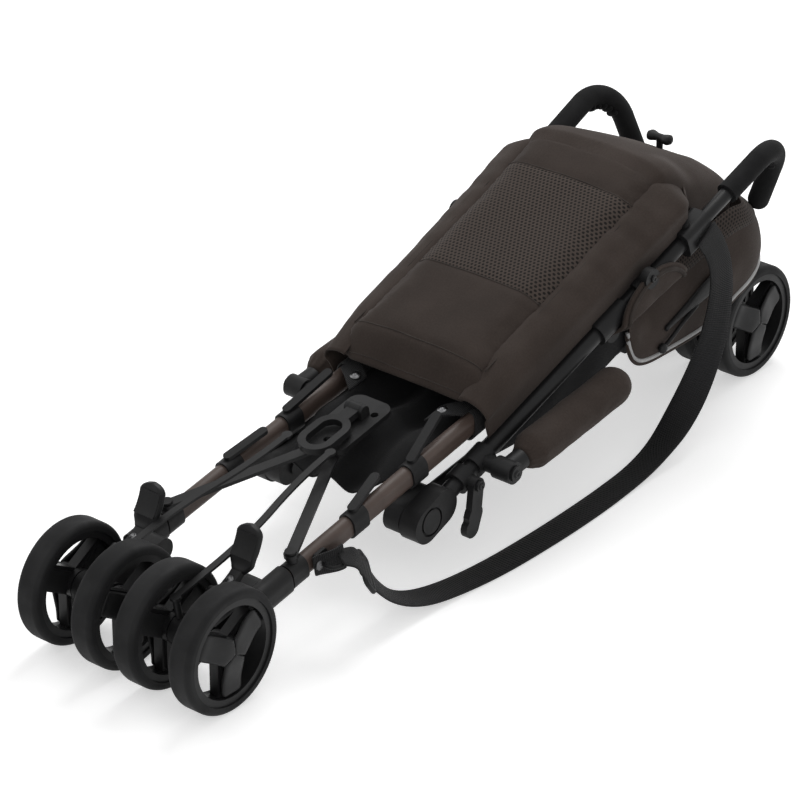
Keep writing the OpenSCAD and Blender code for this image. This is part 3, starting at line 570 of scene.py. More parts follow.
def swell(obj, cap, hold):
    before = [v.co.copy() for v in obj.data.vertices]
    cloth = obj.modifiers.new("cloth", "CLOTH")
    make = cloth.settings
    make.quality = puffSet["quality"]
    make.mass = puffSet["mass"]
    make.tension_stiffness = puffSet["stiff"]
    make.compression_stiffness = puffSet["stiff"]
    make.use_pressure = True
    make.uniform_pressure_force = puffSet["pressure"]
    make.effector_weights.gravity = 0
    cloth.point_cache.frame_start = 1
    cloth.point_cache.frame_end = puffSet["steps"]
    for step in range(1, puffSet["steps"] + 1):
        scene.frame_set(step)
    graph = bpy.context.evaluated_depsgraph_get()
    after = [v.co.copy() for v in obj.evaluated_get(graph).data.vertices]
    obj.modifiers.clear()
    scene.frame_set(1)
    for v, a, b in zip(obj.data.vertices, before, after):
        move = b - a
        if move.length > cap:
            move *= cap / move.length
        v.co = a + move * (hold(a) if hold else 1)


def puffed(bm, name, cap, voxel, hold=None):
    obj = pieceFrom(bm, name, "fabric_brown")
    addModifier(obj, "REMESH", mode="VOXEL", voxel_size=voxel)
    graph = bpy.context.evaluated_depsgraph_get()
    mesh = bpy.data.meshes.new_from_object(obj.evaluated_get(graph))
    obj.modifiers.clear()
    obj.data = mesh
    swell(obj, cap, hold)
    out = bmesh.new()
    out.from_mesh(mesh)
    bpy.data.objects.remove(obj)
    return out


def cutHalves(bm, name, slot, node, looks=()):
    out = []
    for side, s in sides.items():
        half = bm.copy()
        geom = half.verts[:] + half.edges[:] + half.faces[:]
        bmesh.ops.bisect_plane(half, geom=geom, dist=weld, plane_co=(0, 0, 0), plane_no=(0, -s, 0),
                               clear_outer=True)
        for e in half.edges:
            if e.is_boundary and max(abs(v.co.y) for v in e.verts) < 10 * weld:
                e.smooth = False
        obj = pieceFrom(half, side + name, slot, looks=looks)
        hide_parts(node)
        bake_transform(obj)
        out.append(obj)
    bm.free()
    return out


# carrying strap: one length of ribbed webbing, flat on the floor between its two ends
strapSet = {"width": 36, "thick": 2.4, "steps": 6, "around": 0.077, "lowest": 0.0004,
            "legEnd": (230, -135, 40), "tubeEnd": (640, -145, 10)}
strapPts = [(170, -121, 108), (182, -128, 104), (190, -130, 96), (200, -131, 81), (213, -132, 62),
            (231, -133, 42), (257, -134, 23), (292, -136, 10), (340, -141, 4), (400, -147, 3), (470, -149, 3),
            (540, -148, 3), (610, -144, 3), (672, -141, 8), (716, -141, 24), (750, -143, 52), (776, -146, 88),
            (796, -149, 132), (806, -150, 178), (806, -149, 216), (798, -145, 244), (785, -141, 266)]
strapAcross = [(40, 30, -4), (40, 34, 0), (40, 36, 4), (38, 40, 8), (32, 46, 10), (22, 52, 10), (10, 58, 6),
               (4, 60, 3), (0, 60, 0), (0, 60, 0), (0, 60, 0), (0, 60, 0), (0, 60, -2),
               (-8, 58, -6), (-20, 54, -10), (-34, 48, -4), (-46, 38, 4), (-54, 26, 8), (-58, 14, 4),
               (-58, 6, -6), (-56, 2, -18), (-56, 2, -23)]
strapSection = [(1, -0.5), (1, 0.5), (0.97, 1), (0.5, 1), (0, 1), (-0.5, 1), (-0.97, 1), (-1, 0.5),
                (-1, -0.5), (-0.97, -1), (-0.5, -1), (0, -1), (0.5, -1), (0.97, -1)]
strapPath = [rowPoint(*p) for p in splinePoints(strapPts, strapSet["steps"])]
strapWide = splinePoints(strapAcross, strapSet["steps"])
strapLen = sum((b - a).length for a, b in zip(strapPath, strapPath[1:]))


def strapShape(u, v):
    count = len(strapPath) - 1
    i = min(int(round(v * count)), count)
    along = (strapPath[min(i + 1, count)] - strapPath[max(i - 1, 0)]).normalized()
    wide = squareTo(strapWide[i], along)
    half, thick = strapSet["width"] / 2 * mm, strapSet["thick"] / 2 * mm
    a, b = strapSection[int(round(u * len(strapSection))) % len(strapSection)]
    p = strapPath[i] + wide * a * half + along.cross(wide) * b * thick
    p.z = max(p.z, strapSet["lowest"])
    return p


bm = loft(strapShape, len(strapSection), len(strapPath) - 1, (strapSet["around"], strapLen), closed=True,
          capped=True)
strap = pieceFrom(bm, "carryStrap", "webbing_black")
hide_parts("carry_strap")
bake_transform(strap)
print("strap", round(strapLen, 4))


# back panel: padded, with a thin hem, cross seams and a net window
backSet = {"from": 119, "to": 503, "half": 96, "rise": 80, "crown": 5, "fall": 0.021, "fallFrom": 115,
           "sink": 3, "edgeY": 98, "edgeDrop": 7, "startRun": 12, "endRun": 26, "corner": 14,
           "wave": (2.4, 0.012, 0.02, 3.1), "edgePower": 9,
           "grid": (28, 56), "thick": 20, "cap": 0.006, "voxel": 0.005, "hemThick": 8, "hemLen": 60,
           "hemHold": 0.25, "hemRise": (117, 42), "hemZ": 58, "rayFrom": 160, "missed": 4,
           "blend": 0.096, "fill": 0.5}
origin = mainPoint(0, 0, 0)


def onMain(p):
    d = p - origin
    return d.dot(mainDir) / mm, d.y / mm, d.dot(mainUp) / mm


def backTop(l, y):
    share = abs(y) / backSet["edgeY"]
    z = backSet["rise"] + backSet["crown"] * (1 - share ** 2) - backSet["fall"] * (l - backSet["fallFrom"])
    hem = rise(l, *backSet["hemRise"])
    z = z * hem + backSet["hemZ"] * (1 - hem)
    return z - backSet["edgeDrop"] * share ** backSet["edgePower"]


def backShape(u, v):
    l = backSet["from"] + v * (backSet["to"] - backSet["from"])
    end = max((l - backSet["to"] + backSet["endRun"]) / backSet["endRun"],
              (backSet["from"] + backSet["startRun"] - l) / backSet["startRun"])
    half = backSet["half"] - backSet["corner"] * (1 - rounded(end))
    y = (2 * u - 1) * half
    sag = ripple(l, y, backSet["wave"])
    return mainPoint(l, y, backTop(l, y) - backSet["sink"] + sag)


def hemShare(p):
    return rise(onMain(p)[0], backSet["from"], backSet["hemLen"])


def hemHold(p):
    return backSet["hemHold"] + (1 - backSet["hemHold"]) * hemShare(p)


pad = loft(backShape, *backSet["grid"])
bmesh.ops.solidify(pad, geom=pad.faces[:], thickness=-backSet["thick"] * mm)
for v in pad.verts:
    l, y, z = onMain(v.co)
    if z < backTop(l, y) - backSet["thick"] / 2 - backSet["sink"]:
        v.co += mainUp * (backSet["thick"] - backSet["hemThick"]) * (1 - hemShare(v.co)) * mm
bmesh.ops.recalc_face_normals(pad, faces=pad.faces)
pad = puffed(pad, "backDraft", backSet["cap"], backSet["voxel"], hemHold)
bmesh.ops.smooth_vert(pad, verts=pad.verts, factor=0.5, use_axis_x=True, use_axis_y=True, use_axis_z=True)

# sewn channels: three across the back, one up each edge, one along the hem
seamSet = {"rows": (160, 271, 447), "rowWide": 5.0, "rowDeep": 1.3, "rowEnd": 90, "rowRun": 10, "rowY": 89,
           "edgeY": 92, "edgeWide": 4.0, "edgeDeep": 1.2, "edgeRise": (150, 20), "skin": 12,
           "threadY": 93.5, "threadL": (160, 480), "hemL": 129, "hemY": 88, "lift": 0.1,
           "r": 0.0007, "hemR": 0.0006, "around": 6, "flat": (0.004, 0.2), "rowSteps": 40, "edgeSteps": 60}
for v in pad.verts:
    l, y, z = onMain(v.co)
    if z > backTop(l, y) - seamSet["skin"]:
        dip = sum(math.exp(-((l - row) / seamSet["rowWide"]) ** 2) for row in seamSet["rows"])
        dip *= smooth((seamSet["rowEnd"] - abs(y)) / seamSet["rowRun"])
        edge = math.exp(-((abs(y) - seamSet["edgeY"]) / seamSet["edgeWide"]) ** 2)
        edge *= rise(l, *seamSet["edgeRise"])
        v.co -= mainUp * (seamSet["rowDeep"] * dip + seamSet["edgeDeep"] * edge) * mm
bmesh.ops.recalc_face_normals(pad, faces=pad.faces)
padTree = BVHTree.FromBMesh(pad)


def onBack(l, y, lift):
    hit = padTree.ray_cast(mainPoint(l, y, backSet["rayFrom"]), -mainUp)[0]
    if hit is None:
        return mainPoint(l, y, backTop(l, y) - backSet["missed"] + lift)
    return hit + mainUp * lift * mm


def seamOnBack(spots, r):
    thread = [onBack(l, y, seamSet["lift"]) for l, y in spots]
    joinMeshes(pad, rod(thread, r, seamSet["around"], seamSet["flat"]), 1)


def acrossBack(half):
    return span(-half, half, seamSet["rowSteps"])


for row in seamSet["rows"]:
    seamOnBack([(row, y) for y in acrossBack(seamSet["rowY"])], seamSet["r"])
for s in sides.values():
    alongBack = span(*seamSet["threadL"], seamSet["edgeSteps"])
    seamOnBack([(l, s * seamSet["threadY"]) for l in alongBack], seamSet["r"])
seamOnBack([(seamSet["hemL"], y) for y in acrossBack(seamSet["hemY"])], seamSet["hemR"])
paintUv(pad, lambda p: ((p - origin).y, (p - origin).dot(mainDir)))
backLooks = (backCloth, threadBrown)
for obj in cutHalves(pad, "BackPad", "fabric_brown", "back_panel", backLooks):
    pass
print("back panel made")


# hood: one curved sheet over the folded canopy, tucked under at the pad and dipped round the knob
hoodSet = {"startL": 506, "startZ": 71.8, "startAngle": 82, "noseAngle": 53, "r": 350, "noseR": 36,
           "drop": 36, "half": 97, "side": 60, "sideEase": 0.25, "round": 58, "narrow": 0.06, "tuck": 22,
           "tuckL": 486, "tuckIn": 0.97, "tuckDeep": 1.6, "lift": 8, "ease": 110, "crown": (0.2, 0.42),
           "least": 0.02, "box": 0.8, "sideRise": (0.6, 0.4), "noseRise": (0.55, 0.45),
           "wave": (2.6, 0.014, 0.012, 7.7), "pleat": (1.2, 0.11, 0.03), "pleatRise": (45, 40),
           "dip": 8, "dipR": 25, "grid": (56, 60),
           "flat": (0.27, 0.268), "blend": 0.094, "cut": 0.135, "thick": 0.0016}
knobAt = Vector((884.8, 0, 310.3))
hoodStart, hoodNose = math.radians(hoodSet["startAngle"]), math.radians(hoodSet["noseAngle"])
hoodMid = joint + mainDir * hoodSet["startL"] + mainUp * hoodSet["startZ"] - hoodSet["r"] * slope(hoodStart)
noseMid = hoodMid + (hoodSet["r"] - hoodSet["noseR"]) * slope(hoodNose)
hoodArc = hoodSet["r"] * math.radians(hoodSet["startAngle"] - hoodSet["noseAngle"])
noseArc = hoodSet["noseR"] * hoodNose
hoodLen = hoodSet["tuck"] + hoodArc + noseArc + hoodSet["drop"]
tuckShare = hoodSet["tuck"] / hoodLen


def hoodLine(v):
    s = max(0, v * hoodLen - hoodSet["tuck"])
    if s < hoodArc:
        out = slope(hoodStart - s / hoodSet["r"])
        return hoodMid + hoodSet["r"] * out, out, s
    if s < hoodArc + noseArc:
        out = slope(hoodNose - (s - hoodArc) / hoodSet["noseR"])
        return noseMid + hoodSet["noseR"] * out, out, s
    return noseMid + Vector((hoodSet["noseR"], 0, -(s - hoodArc - noseArc))), Vector((1, 0, 0)), s


def hoodShape(u, v):
    if v < tuckShare - weld:
        edge = hoodShape(u, tuckShare)
        under = onBack(hoodSet["tuckL"], edge.y / mm * hoodSet["tuckIn"], -hoodSet["tuckDeep"])
        return edge.lerp(under, 1 - v / tuckShare)
    p, out, s = hoodLine(v)
    eased = smooth(s / hoodSet["ease"])
    p = p + out * hoodSet["lift"] * (1 - eased)
    a = (2 * u - 1) * math.pi / 2
    y = hoodSet["half"] * boxed(math.sin(a), hoodSet["box"])
    fall = 1 - max(abs(math.cos(a)), hoodSet["least"]) ** (hoodSet["crown"][0] + hoodSet["crown"][1] * eased)
    p = p - out * hoodSet["side"] * fall * (1 - hoodSet["sideEase"] * rise(v, *hoodSet["sideRise"]))
    nose = rise(v, *hoodSet["noseRise"])
    p.x -= hoodSet["round"] * nose * (abs(2 * u - 1) ** 3)
    y *= 1 - hoodSet["narrow"] * nose
    fold = ripple(p.x, y, hoodSet["wave"])
    high, rateX, rateY = hoodSet["pleat"]
    pleat = high * math.sin(p.x * rateX + abs(y) * rateY) * rise(abs(y), *hoodSet["pleatRise"])
    near = math.hypot(p.x - knobAt.x, y) / hoodSet["dipR"]
    p += out * (fold + pleat - hoodSet["dip"] * math.exp(-near ** 4))
    return rowPoint(p.x, y, p.z)


bm = loft(hoodShape, *hoodSet["grid"], hoodSet["flat"])
for obj in cutHalves(bm, "HoodSheet", "fabric_brown", "canopy_hood"):
    thicken(obj, hoodSet["thick"])
    subdivide(obj)
print("hood made")


# visor: side cloth and nose in one band, with a grey piped edge and a net strip up to the hood
visorSet = {"rear": 674, "nose": 893, "straight": 0.33, "bulge": 6, "wave": (2.4, 22, 2.2, 1.3), "dense": 1.6,
            "netBulge": 3, "netWave": (1, 30, 1, 4.4),
            "lap": 0.14, "thick": 0.0018, "grid": (110, 14), "flat": (0.80, 0.085), "cut": 0.09,
            "netGrid": (110, 6), "netFlat": (0.78, 0.03), "netCut": 0.03, "trimSteps": 160,
            "trimFlat": (0.016, 0.8), "piping": (1.5, 0.003, 0.0026, 10), "hem": (0.5, -0.001, 0.0028, 8)}
visorEdges = {
    "low": {"out": 115, "reach": 115,
            "z": [(674, 172), (678, 152), (688, 134), (706, 124), (740, 121), (820, 122), (860, 131),
                  (893, 142), (938, 151), (1010, 156)]},
    "mid": {"out": 112, "reach": 98,
            "z": [(674, 187), (732, 199), (800, 213), (873, 226), (893, 227), (940, 220), (1000, 212)]},
    "top": {"out": 106, "reach": 60,
            "z": [(674, 206), (732, 222), (800, 238), (873, 252), (893, 252), (930, 243), (960, 236)]},
}


def visorEdge(u, edge, swell=0.0):
    e = visorEdges[edge]
    run = visorSet["straight"]
    out, reach = e["out"] + swell, e["reach"] + swell
    straight = visorSet["nose"] - visorSet["rear"]
    if u < run:
        x, y = visorSet["rear"] + straight * (u / run) ** visorSet["dense"], -out
    elif u > 1 - run:
        x, y = visorSet["rear"] + straight * ((1 - u) / run) ** visorSet["dense"], out
    else:
        a = math.pi * ((u - run) / (1 - 2 * run) - 0.5)
        x, y = visorSet["nose"] + reach * math.cos(a), out * math.sin(a)
    return rowPoint(x, y, curve(x, e["z"]))


def visorShape(u, v):
    swell = (visorSet["bulge"] + ripple(u, v, visorSet["wave"])) * math.sin(math.pi * v)
    return visorEdge(u, "low", swell).lerp(visorEdge(u, "mid", swell), v)


def netShape(u, v):
    swell = visorSet["netBulge"] * math.sin(math.pi * v) + ripple(u, v, visorSet["netWave"])
    share = v * (1 + visorSet["lap"]) - visorSet["lap"]
    return visorEdge(u, "mid", swell).lerp(visorEdge(u, "top", swell), share)


def visorTrim(out, rise, radius, around):
    spots = [visorEdge(u, "low", out) + Vector((0, 0, rise)) for u in span(0, 1, visorSet["trimSteps"])]
    return rod(spots, radius, around, visorSet["trimFlat"])


bm = loft(visorShape, *visorSet["grid"], visorSet["flat"])
visor = pieceFrom(bm, "visorCloth", "fabric_brown", "visor")
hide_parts("canopy_visor")
bm = loft(netShape, *visorSet["netGrid"], visorSet["netFlat"])
strip = pieceFrom(bm, "visorNet", "fabric_brown", "visor", (netCloth,))
bm = visorTrim(*visorSet["piping"])
piping = pieceFrom(bm, "visorPiping", "fabric_brown", "visor", (pipingGrey,))
hem = pieceFrom(visorTrim(*visorSet["hem"]), "visorHem", "fabric_brown", "visor")
for obj in (visor, strip):
    thicken(obj, visorSet["thick"])
subdivide(visor)

# flat stays of the canopy on the visor's sides, and a stay rod with a ball end
staySet = {"from": (738, 157), "to": (858, 186), "y": 123.5, "lean": 4, "thick": 3, "half": 3, "widen": 9,
           "widenRun": 1 / 1.3, "tip": 0.15, "least": 0.05, "box": 0.7, "grid": (16, 26),
           "rodR": 0.0026, "rodSteps": 6, "around": 8,
           "rod": [(733, 124, 134), (748, 125, 142), (768, 125, 153), (800, 122, 163)],
           "ball": [(0, -5), (4, -4.2), (6, -2), (6.4, 0), (5.6, 2.6), (3, 4.4), (0, 4.8)]}


def stayShape(u, v):
    x, z = [a + (b - a) * v for a, b in zip(staySet["from"], staySet["to"])]
    half = staySet["half"] + staySet["widen"] * smooth(v / staySet["widenRun"])
    half *= rounded((v - 1 + staySet["tip"]) / staySet["tip"], staySet["least"])
    a = fullTurn * u
    y = staySet["y"] + staySet["thick"] * math.cos(a) - staySet["lean"] * v
    return rowPoint(x, y, z + half * boxed(math.sin(a), staySet["box"]))


bm = loft(stayShape, *staySet["grid"], closed=True, capped=True)
rodPts = [rowPoint(*p) for p in splinePoints(staySet["rod"], staySet["rodSteps"])]
joinMeshes(bm, rod(rodPts, staySet["rodR"], staySet["around"]))
joinMeshes(bm, lathe(staySet["ball"], rodPts[0], (0, 1, 0)))
for side, s in sides.items():
    pieceFrom(forSide(bm.copy(), s), side + "CanopyStay", "plastic_black", "visor")
bm.free()
print("visor made")


# half round flaps buttoned over the canopy clips
flapSet = {"mid": (696, 207), "slope": 14, "long": 64, "high": 50, "thick": 4, "foot": 4, "fan": 8, "y": 123,
           "out": 17, "outRun": 16, "rim": 2, "rimPower": 6, "wave": (1.2, 0.04, 0.05, 6.0), "seam": 0.86,
           "seamOut": 0.0028, "seamR": 0.0007, "seamSteps": 50, "around": 6,
           "grid": (40, 16), "flat": (0.16, 0.06), "seamFlat": (0.004, 0.15), "fill": 0.3}


def flapShape(u, v):
    a = math.pi * u
    t = math.radians(flapSet["slope"])
    along = flapSet["long"] * math.cos(a) * v
    up = flapSet["high"] * math.sin(a) * v - flapSet["foot"] + flapSet["fan"] * (1 - v)
    y = flapSet["y"] + flapSet["out"] * smooth((up + flapSet["foot"]) / flapSet["outRun"])
    y -= flapSet["rim"] * v ** flapSet["rimPower"]
    y += ripple(along, up, flapSet["wave"])
    return rowPoint(flapSet["mid"][0] + along * math.cos(t) - up * math.sin(t), y,
                    flapSet["mid"][1] + along * math.sin(t) + up * math.cos(t))


for side, s in sides.items():
    bm = loft(flapShape, *flapSet["grid"], flapSet["flat"], closed=True)
    rim = [flapShape(u, flapSet["seam"]) + Vector((0, flapSet["seamOut"], 0))
           for u in span(0, 1, flapSet["seamSteps"])]
    joinMeshes(bm, rod(rim, flapSet["seamR"], flapSet["around"], flapSet["seamFlat"]), 1)
    obj = pieceFrom(forSide(bm, s), side + "ClipFlap", "fabric_brown", side + "_main",
                    (finishes["fabric_brown"], threadBrown))
    thicken(obj, flapSet["thick"] * mm)
print("flaps made")


# side gussets hang from the back's edges to the main tubes
gussetSet = {"from": 122, "to": 540, "seamY": 88, "seamL": (132, 482), "even": (-36, -24, -12, 0, 12, 24, 36),
             "endL": 486, "endLen": 54, "endFall": 36, "endDraw": 0.97, "spreadRise": (118, 60),
             "shoulder": [(82, 2.4), (90, 0.4), (99, 2.2), (110, 7.5)], "side": [(3, 2), (-1, 4), (-3, 0)],
             "sideDrop": 20, "bellyZ": 32, "footZ": 9, "steps": 8, "wave": (2.6, 0.012, 1.6, 5.0),
             "waveRise": (0.3, 0.3), "grid": (30, 48), "flat": (0.115, 0.38), "cut": 0.115, "thick": 0.0018}


def seamHeight(l):
    low, top = gussetSet["seamL"]
    spots = [min(max(l + step, low), top) for step in gussetSet["even"]]
    high = [onMain(onBack(spot, gussetSet["seamY"], 0))[2] for spot in spots]
    return sum(high) / len(high)


def gussetShape(u, v):
    l = gussetSet["from"] + v * (gussetSet["to"] - gussetSet["from"])
    end = rise(l, gussetSet["endL"], gussetSet["endLen"])
    top = seamHeight(l) - gussetSet["endFall"] * end
    spread = rise(l, *gussetSet["spreadRise"])
    # the section from the seam over the shoulder to the tube, as sideways place and height
    pts = [(y, top - drop, 0) for y, drop in gussetSet["shoulder"]]
    heights = (top - gussetSet["sideDrop"], gussetSet["bellyZ"], gussetSet["footZ"])
    pts += [(tubeY(l) + out + wide * spread, z, 0) for (out, wide), z in zip(gussetSet["side"], heights)]
    steps = gussetSet["steps"]
    k = u * (len(pts) - 1)
    i = min(int(k), len(pts) - 2)
    p = splinePoints(pts[max(i - 1, 0):i + 3], steps)[steps if i > 0 else 0:]
    f = (k - i) * steps
    j = min(int(f), steps - 1)
    q = p[j].lerp(p[j + 1], f - j)
    wave = ripple(l, u, gussetSet["wave"]) * math.sin(math.pi * u) * rise(u, *gussetSet["waveRise"])
    y = gussetSet["seamY"] + (q.x + wave - gussetSet["seamY"]) * (1 - gussetSet["endDraw"] * end)
    return mainPoint(l, y, q.y)


for side, s in sides.items():
    bm = forSide(loft(gussetShape, *gussetSet["grid"], gussetSet["flat"]), s)
    obj = pieceFrom(bm, side + "GussetCloth", "fabric_brown", side + "_main")
    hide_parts(side + "_side_gusset")
    thicken(obj, gussetSet["thick"])
    subdivide(obj)
print("gussets made")


# folded seat cloth between the rear legs
seatSet = {"from": 292, "to": 598, "half": 79, "narrow": 22, "narrowRun": 70, "base": -2, "pleat": 7,
           "pleatRate": 0.11, "wave": (3, 0.03, 0.03, 9.0), "endFall": 16, "endRise": (300, 80), "sag": 22,
           "sagRise": (380, 80),
           "grid": (48, 60), "flat": (0.24, 0.31), "blend": 0.079, "cut": 0.12, "thick": 0.002}


def seatShape(u, v):
    x = seatSet["from"] + v * (seatSet["to"] - seatSet["from"])
    w = 2 * u - 1
    y = w * (seatSet["half"] - seatSet["narrow"] * (1 - rise(x, seatSet["from"], seatSet["narrowRun"])))
    z = seatSet["base"] + seatSet["pleat"] * math.cos(y * seatSet["pleatRate"])
    z += ripple(x, y, seatSet["wave"])
    z -= seatSet["endFall"] * (1 - rise(x, *seatSet["endRise"]))
    z -= seatSet["sag"] * math.cos(math.pi / 2 * w) * rise(x, *seatSet["sagRise"])
    return legPoint(x, y, z)


bm = loft(seatShape, *seatSet["grid"], seatSet["flat"])
for obj in cutHalves(bm, "SeatSling", "fabric_black", "seat_sling"):
    thicken(obj, seatSet["thick"])
    subdivide(obj)
print("seat cloth made")


# folded side cloth of the seat under each main tube
skirtSet = {"from": 80, "to": 374, "y": -9, "in": 4, "top": 5, "gap": 16, "deep": 74, "wave": (1.4, 5, 0.05),
            "grid": (24, 48), "flat": (0.06, 0.18), "cut": 0.07, "thick": 0.0016}


def skirtShape(u, v):
    l = skirtSet["from"] + v * (skirtSet["to"] - skirtSet["from"])
    deep = min(skirtSet["deep"], l * math.tan(math.radians(lines["mainTilt"])) - skirtSet["gap"])
    y = tubeY(l) + skirtSet["y"] - skirtSet["in"] * u
    high, rateU, rateL = skirtSet["wave"]
    y += high * math.sin(u * rateU + l * rateL) * math.sin(math.pi * u)
    return mainPoint(l, y, skirtSet["top"] - deep * u)


for side, s in sides.items():
    bm = forSide(loft(skirtShape, *skirtSet["grid"], skirtSet["flat"]), s)
    obj = pieceFrom(bm, side + "SeatSkirt", "fabric_black", side + "_main")
    thicken(obj, skirtSet["thick"])
    subdivide(obj)
print("skirts made")


# bumper pads: stuffed sleeves drawn in at their ends
bumperSet = {"l": 98, "y": 150, "tilt": 8, "from": 27, "len": 186, "r": 22.5, "cap": 0.004, "voxel": 0.004,
             "neck": 0.62, "neckRun": 0.10, "tip": 0.12, "tipLeast": 0.1, "gather": (1.6, 14),
             "grid": (40, 60), "pucker": (1.5, 13), "puckerRun": 26, "wave": (0.8, 0.05, 2, 2.0),
             "uvR": 0.025, "fill": 0.8}
bumperDir = slope(math.radians(bumperSet["tilt"]))
bumperUp = upFrom(bumperDir)
bumperAt = joint + Vector((0, bumperSet["y"], 0)) + mainDir * bumperSet["l"]
bumperStart = rowPoint(*bumperAt)


def bumperShape(u, v):
    a = fullTurn * u
    start = smooth(v / bumperSet["neckRun"])
    end = rounded((v - 1 + bumperSet["tip"]) / bumperSet["tip"])
    neck = bumperSet["neck"] + (1 - bumperSet["neck"]) * start
    r = bumperSet["r"] * neck * max(bumperSet["tipLeast"], end)
    r += (1 - start) * bumperSet["gather"][0] * math.sin(bumperSet["gather"][1] * a)
    p = bumperAt + bumperDir * (bumperSet["from"] + v * bumperSet["len"])
    return rowPoint(*(p + bumperUp * r * math.sin(a) + Vector((0, r * math.cos(a), 0))))


def bumperUv(p):
    d = p - bumperStart
    return math.atan2(d.z, d.y) * bumperSet["uvR"], d.dot(bumperDir)


bm = puffed(loft(bumperShape, *bumperSet["grid"], closed=True, capped=True), "bumperDraft",
            bumperSet["cap"], bumperSet["voxel"])
for v in bm.verts:
    d = v.co - bumperStart
    along = d.dot(bumperDir) / mm - bumperSet["from"]
    a = math.atan2(d.dot(bumperUp), d.y)
    out = Vector((0, math.cos(a), 0)) + bumperUp * math.sin(a)
    deep, folds = bumperSet["pucker"]
    v.co += out * mm * deep * math.sin(folds * a) * (1 - smooth(along / bumperSet["puckerRun"]))
    v.co += out * mm * ripple(along, a, bumperSet["wave"])
paintUv(bm, bumperUv)
for side, s in sides.items():
    obj = pieceFrom(forSide(bm.copy(), s), side + "BumperPad", "fabric_brown", side + "_bumper")
    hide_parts(side + "_bumper_pad")
    subdivide(obj)
bm.free()
print("bumpers made")


# wheel faces: three raised panels that meet over the hub
wheelSet = {"half": 15.2, "tip": 0.8, "reach": 50, "dome": 17.9, "rim": 12.4, "domeEnd": 6, "domeRun": 34,
            "gap": 0.5, "corner": 7, "cornerIn": 3.5, "sideFall": 1.4, "endFall": 1.2, "least": 0.15,
            "grid": (12, 18), "thick": 0.003, "arms": 3, "firstArm": 90, "armAngle": 60,
            "spots": {"rear_inner": (0, 30, -1), "rear_outer": (0, 108, 1),
                      "front_inner": (963, 29, -1), "front_outer": (963, 83, 1)}}


def panelShape(u, v):
    w = 2 * u - 1
    x = wheelSet["tip"] + (wheelSet["reach"] - wheelSet["tip"]) * v
    half = min(wheelSet["half"], x * math.tan(math.radians(wheelSet["armAngle"])))
    far = max(0, (x - wheelSet["reach"] + wheelSet["corner"]) / wheelSet["corner"])
    half = half - wheelSet["gap"] - wheelSet["cornerIn"] * (1 - rounded(far))
    out = smooth((x - wheelSet["domeEnd"]) / wheelSet["domeRun"])
    z = wheelSet["dome"] + (wheelSet["rim"] - wheelSet["dome"]) * out
    z -= wheelSet["sideFall"] * abs(w) ** 8 + wheelSet["endFall"] * far ** 4
    return Vector((x, w * max(half, wheelSet["least"]), z)) * mm


panel = loft(panelShape, *wheelSet["grid"])
bmesh.ops.solidify(panel, geom=panel.faces[:], thickness=-wheelSet["thick"])
bmesh.ops.recalc_face_normals(panel, faces=panel.faces)
for side, s in sides.items():
    for spot, (x, y, out) in wheelSet["spots"].items():
        face = bmesh.new()
        for k in range(wheelSet["arms"]):
            arm = panel.copy()
            angle = math.radians(wheelSet["firstArm"] + 360 / wheelSet["arms"] * k)
            bmesh.ops.rotate(arm, cent=(0, 0, 0), matrix=Matrix.Rotation(angle, 3, "Z"), verts=arm.verts)
            joinMeshes(face, arm)
        flip = Matrix(((1, 0, 0), (0, 0, s * out), (0, -1, 0))).to_4x4()
        place = Matrix.Translation(rowPoint(x, s * y, lines["wheelR"]))
        bmesh.ops.transform(face, matrix=place @ flip, verts=face.verts)
        bmesh.ops.recalc_face_normals(face, faces=face.faces)
        pieceFrom(face, side + "_" + spot + "_face", "rim_black", side + "_" + spot + "_wheel")
panel.free()
print("wheel faces made")


# brake pedals: a spoon shaped tread over each paddle, and a bolt on its arm
pedalSet = {"x": 42, "z": 25, "r": 70, "y": 69, "zero": 88, "from": 25, "to": 71, "neck": 9, "widen": 6.8,
            "thin": 4.6, "thicken": 1.6, "mid": 66, "neckOut": 4, "dish": 2.2, "box": 0.55, "least": 0.02,
            "tip": 0.2, "heel": 0.06, "widenRise": (0.02, 0.22), "thickRise": (0.15, 0.35),
            "neckRise": (0.1, 0.3), "dishRise": (0.2, 0.3), "grid": (28, 30),
            "boltAt": 16, "boltR": (65.8, 66, 50),
            "bolt": [(0, 2.6), (2.0, 2.4), (2.2, 1.4), (3.6, 1.2), (4.4, 0.4), (4.4, -3), (0, -3)]}


def pedalPoint(angle, r, y):
    a = math.radians(angle - pedalSet["zero"])
    return legPoint(pedalSet["x"] + r * math.cos(a), pedalSet["y"] + y,
                    pedalSet["z"] + pedalSet["r"] + r * math.sin(a))


def spoonShape(u, v):
    angle = pedalSet["from"] + (pedalSet["to"] - pedalSet["from"]) * v
    end = rounded((v - 1 + pedalSet["tip"]) / pedalSet["tip"], pedalSet["least"])
    end *= rounded((pedalSet["heel"] - v) / pedalSet["heel"], pedalSet["least"])
    half = (pedalSet["neck"] + pedalSet["widen"] * rise(v, *pedalSet["widenRise"])) * end
    thick = (pedalSet["thin"] + pedalSet["thicken"] * rise(v, *pedalSet["thickRise"])) * (0.5 + 0.5 * end)
    a = fullTurn * u
    cy, cr = boxed(math.cos(a), pedalSet["box"]), boxed(math.sin(a), pedalSet["box"])
    mid = pedalSet["mid"] + (1 - rise(v, *pedalSet["neckRise"])) * pedalSet["neckOut"]
    dish = pedalSet["dish"] * (1 - cy * cy) * rise(v, *pedalSet["dishRise"]) if cr < 0 else 0
    return pedalPoint(angle, mid + thick * cr + dish, half * cy)


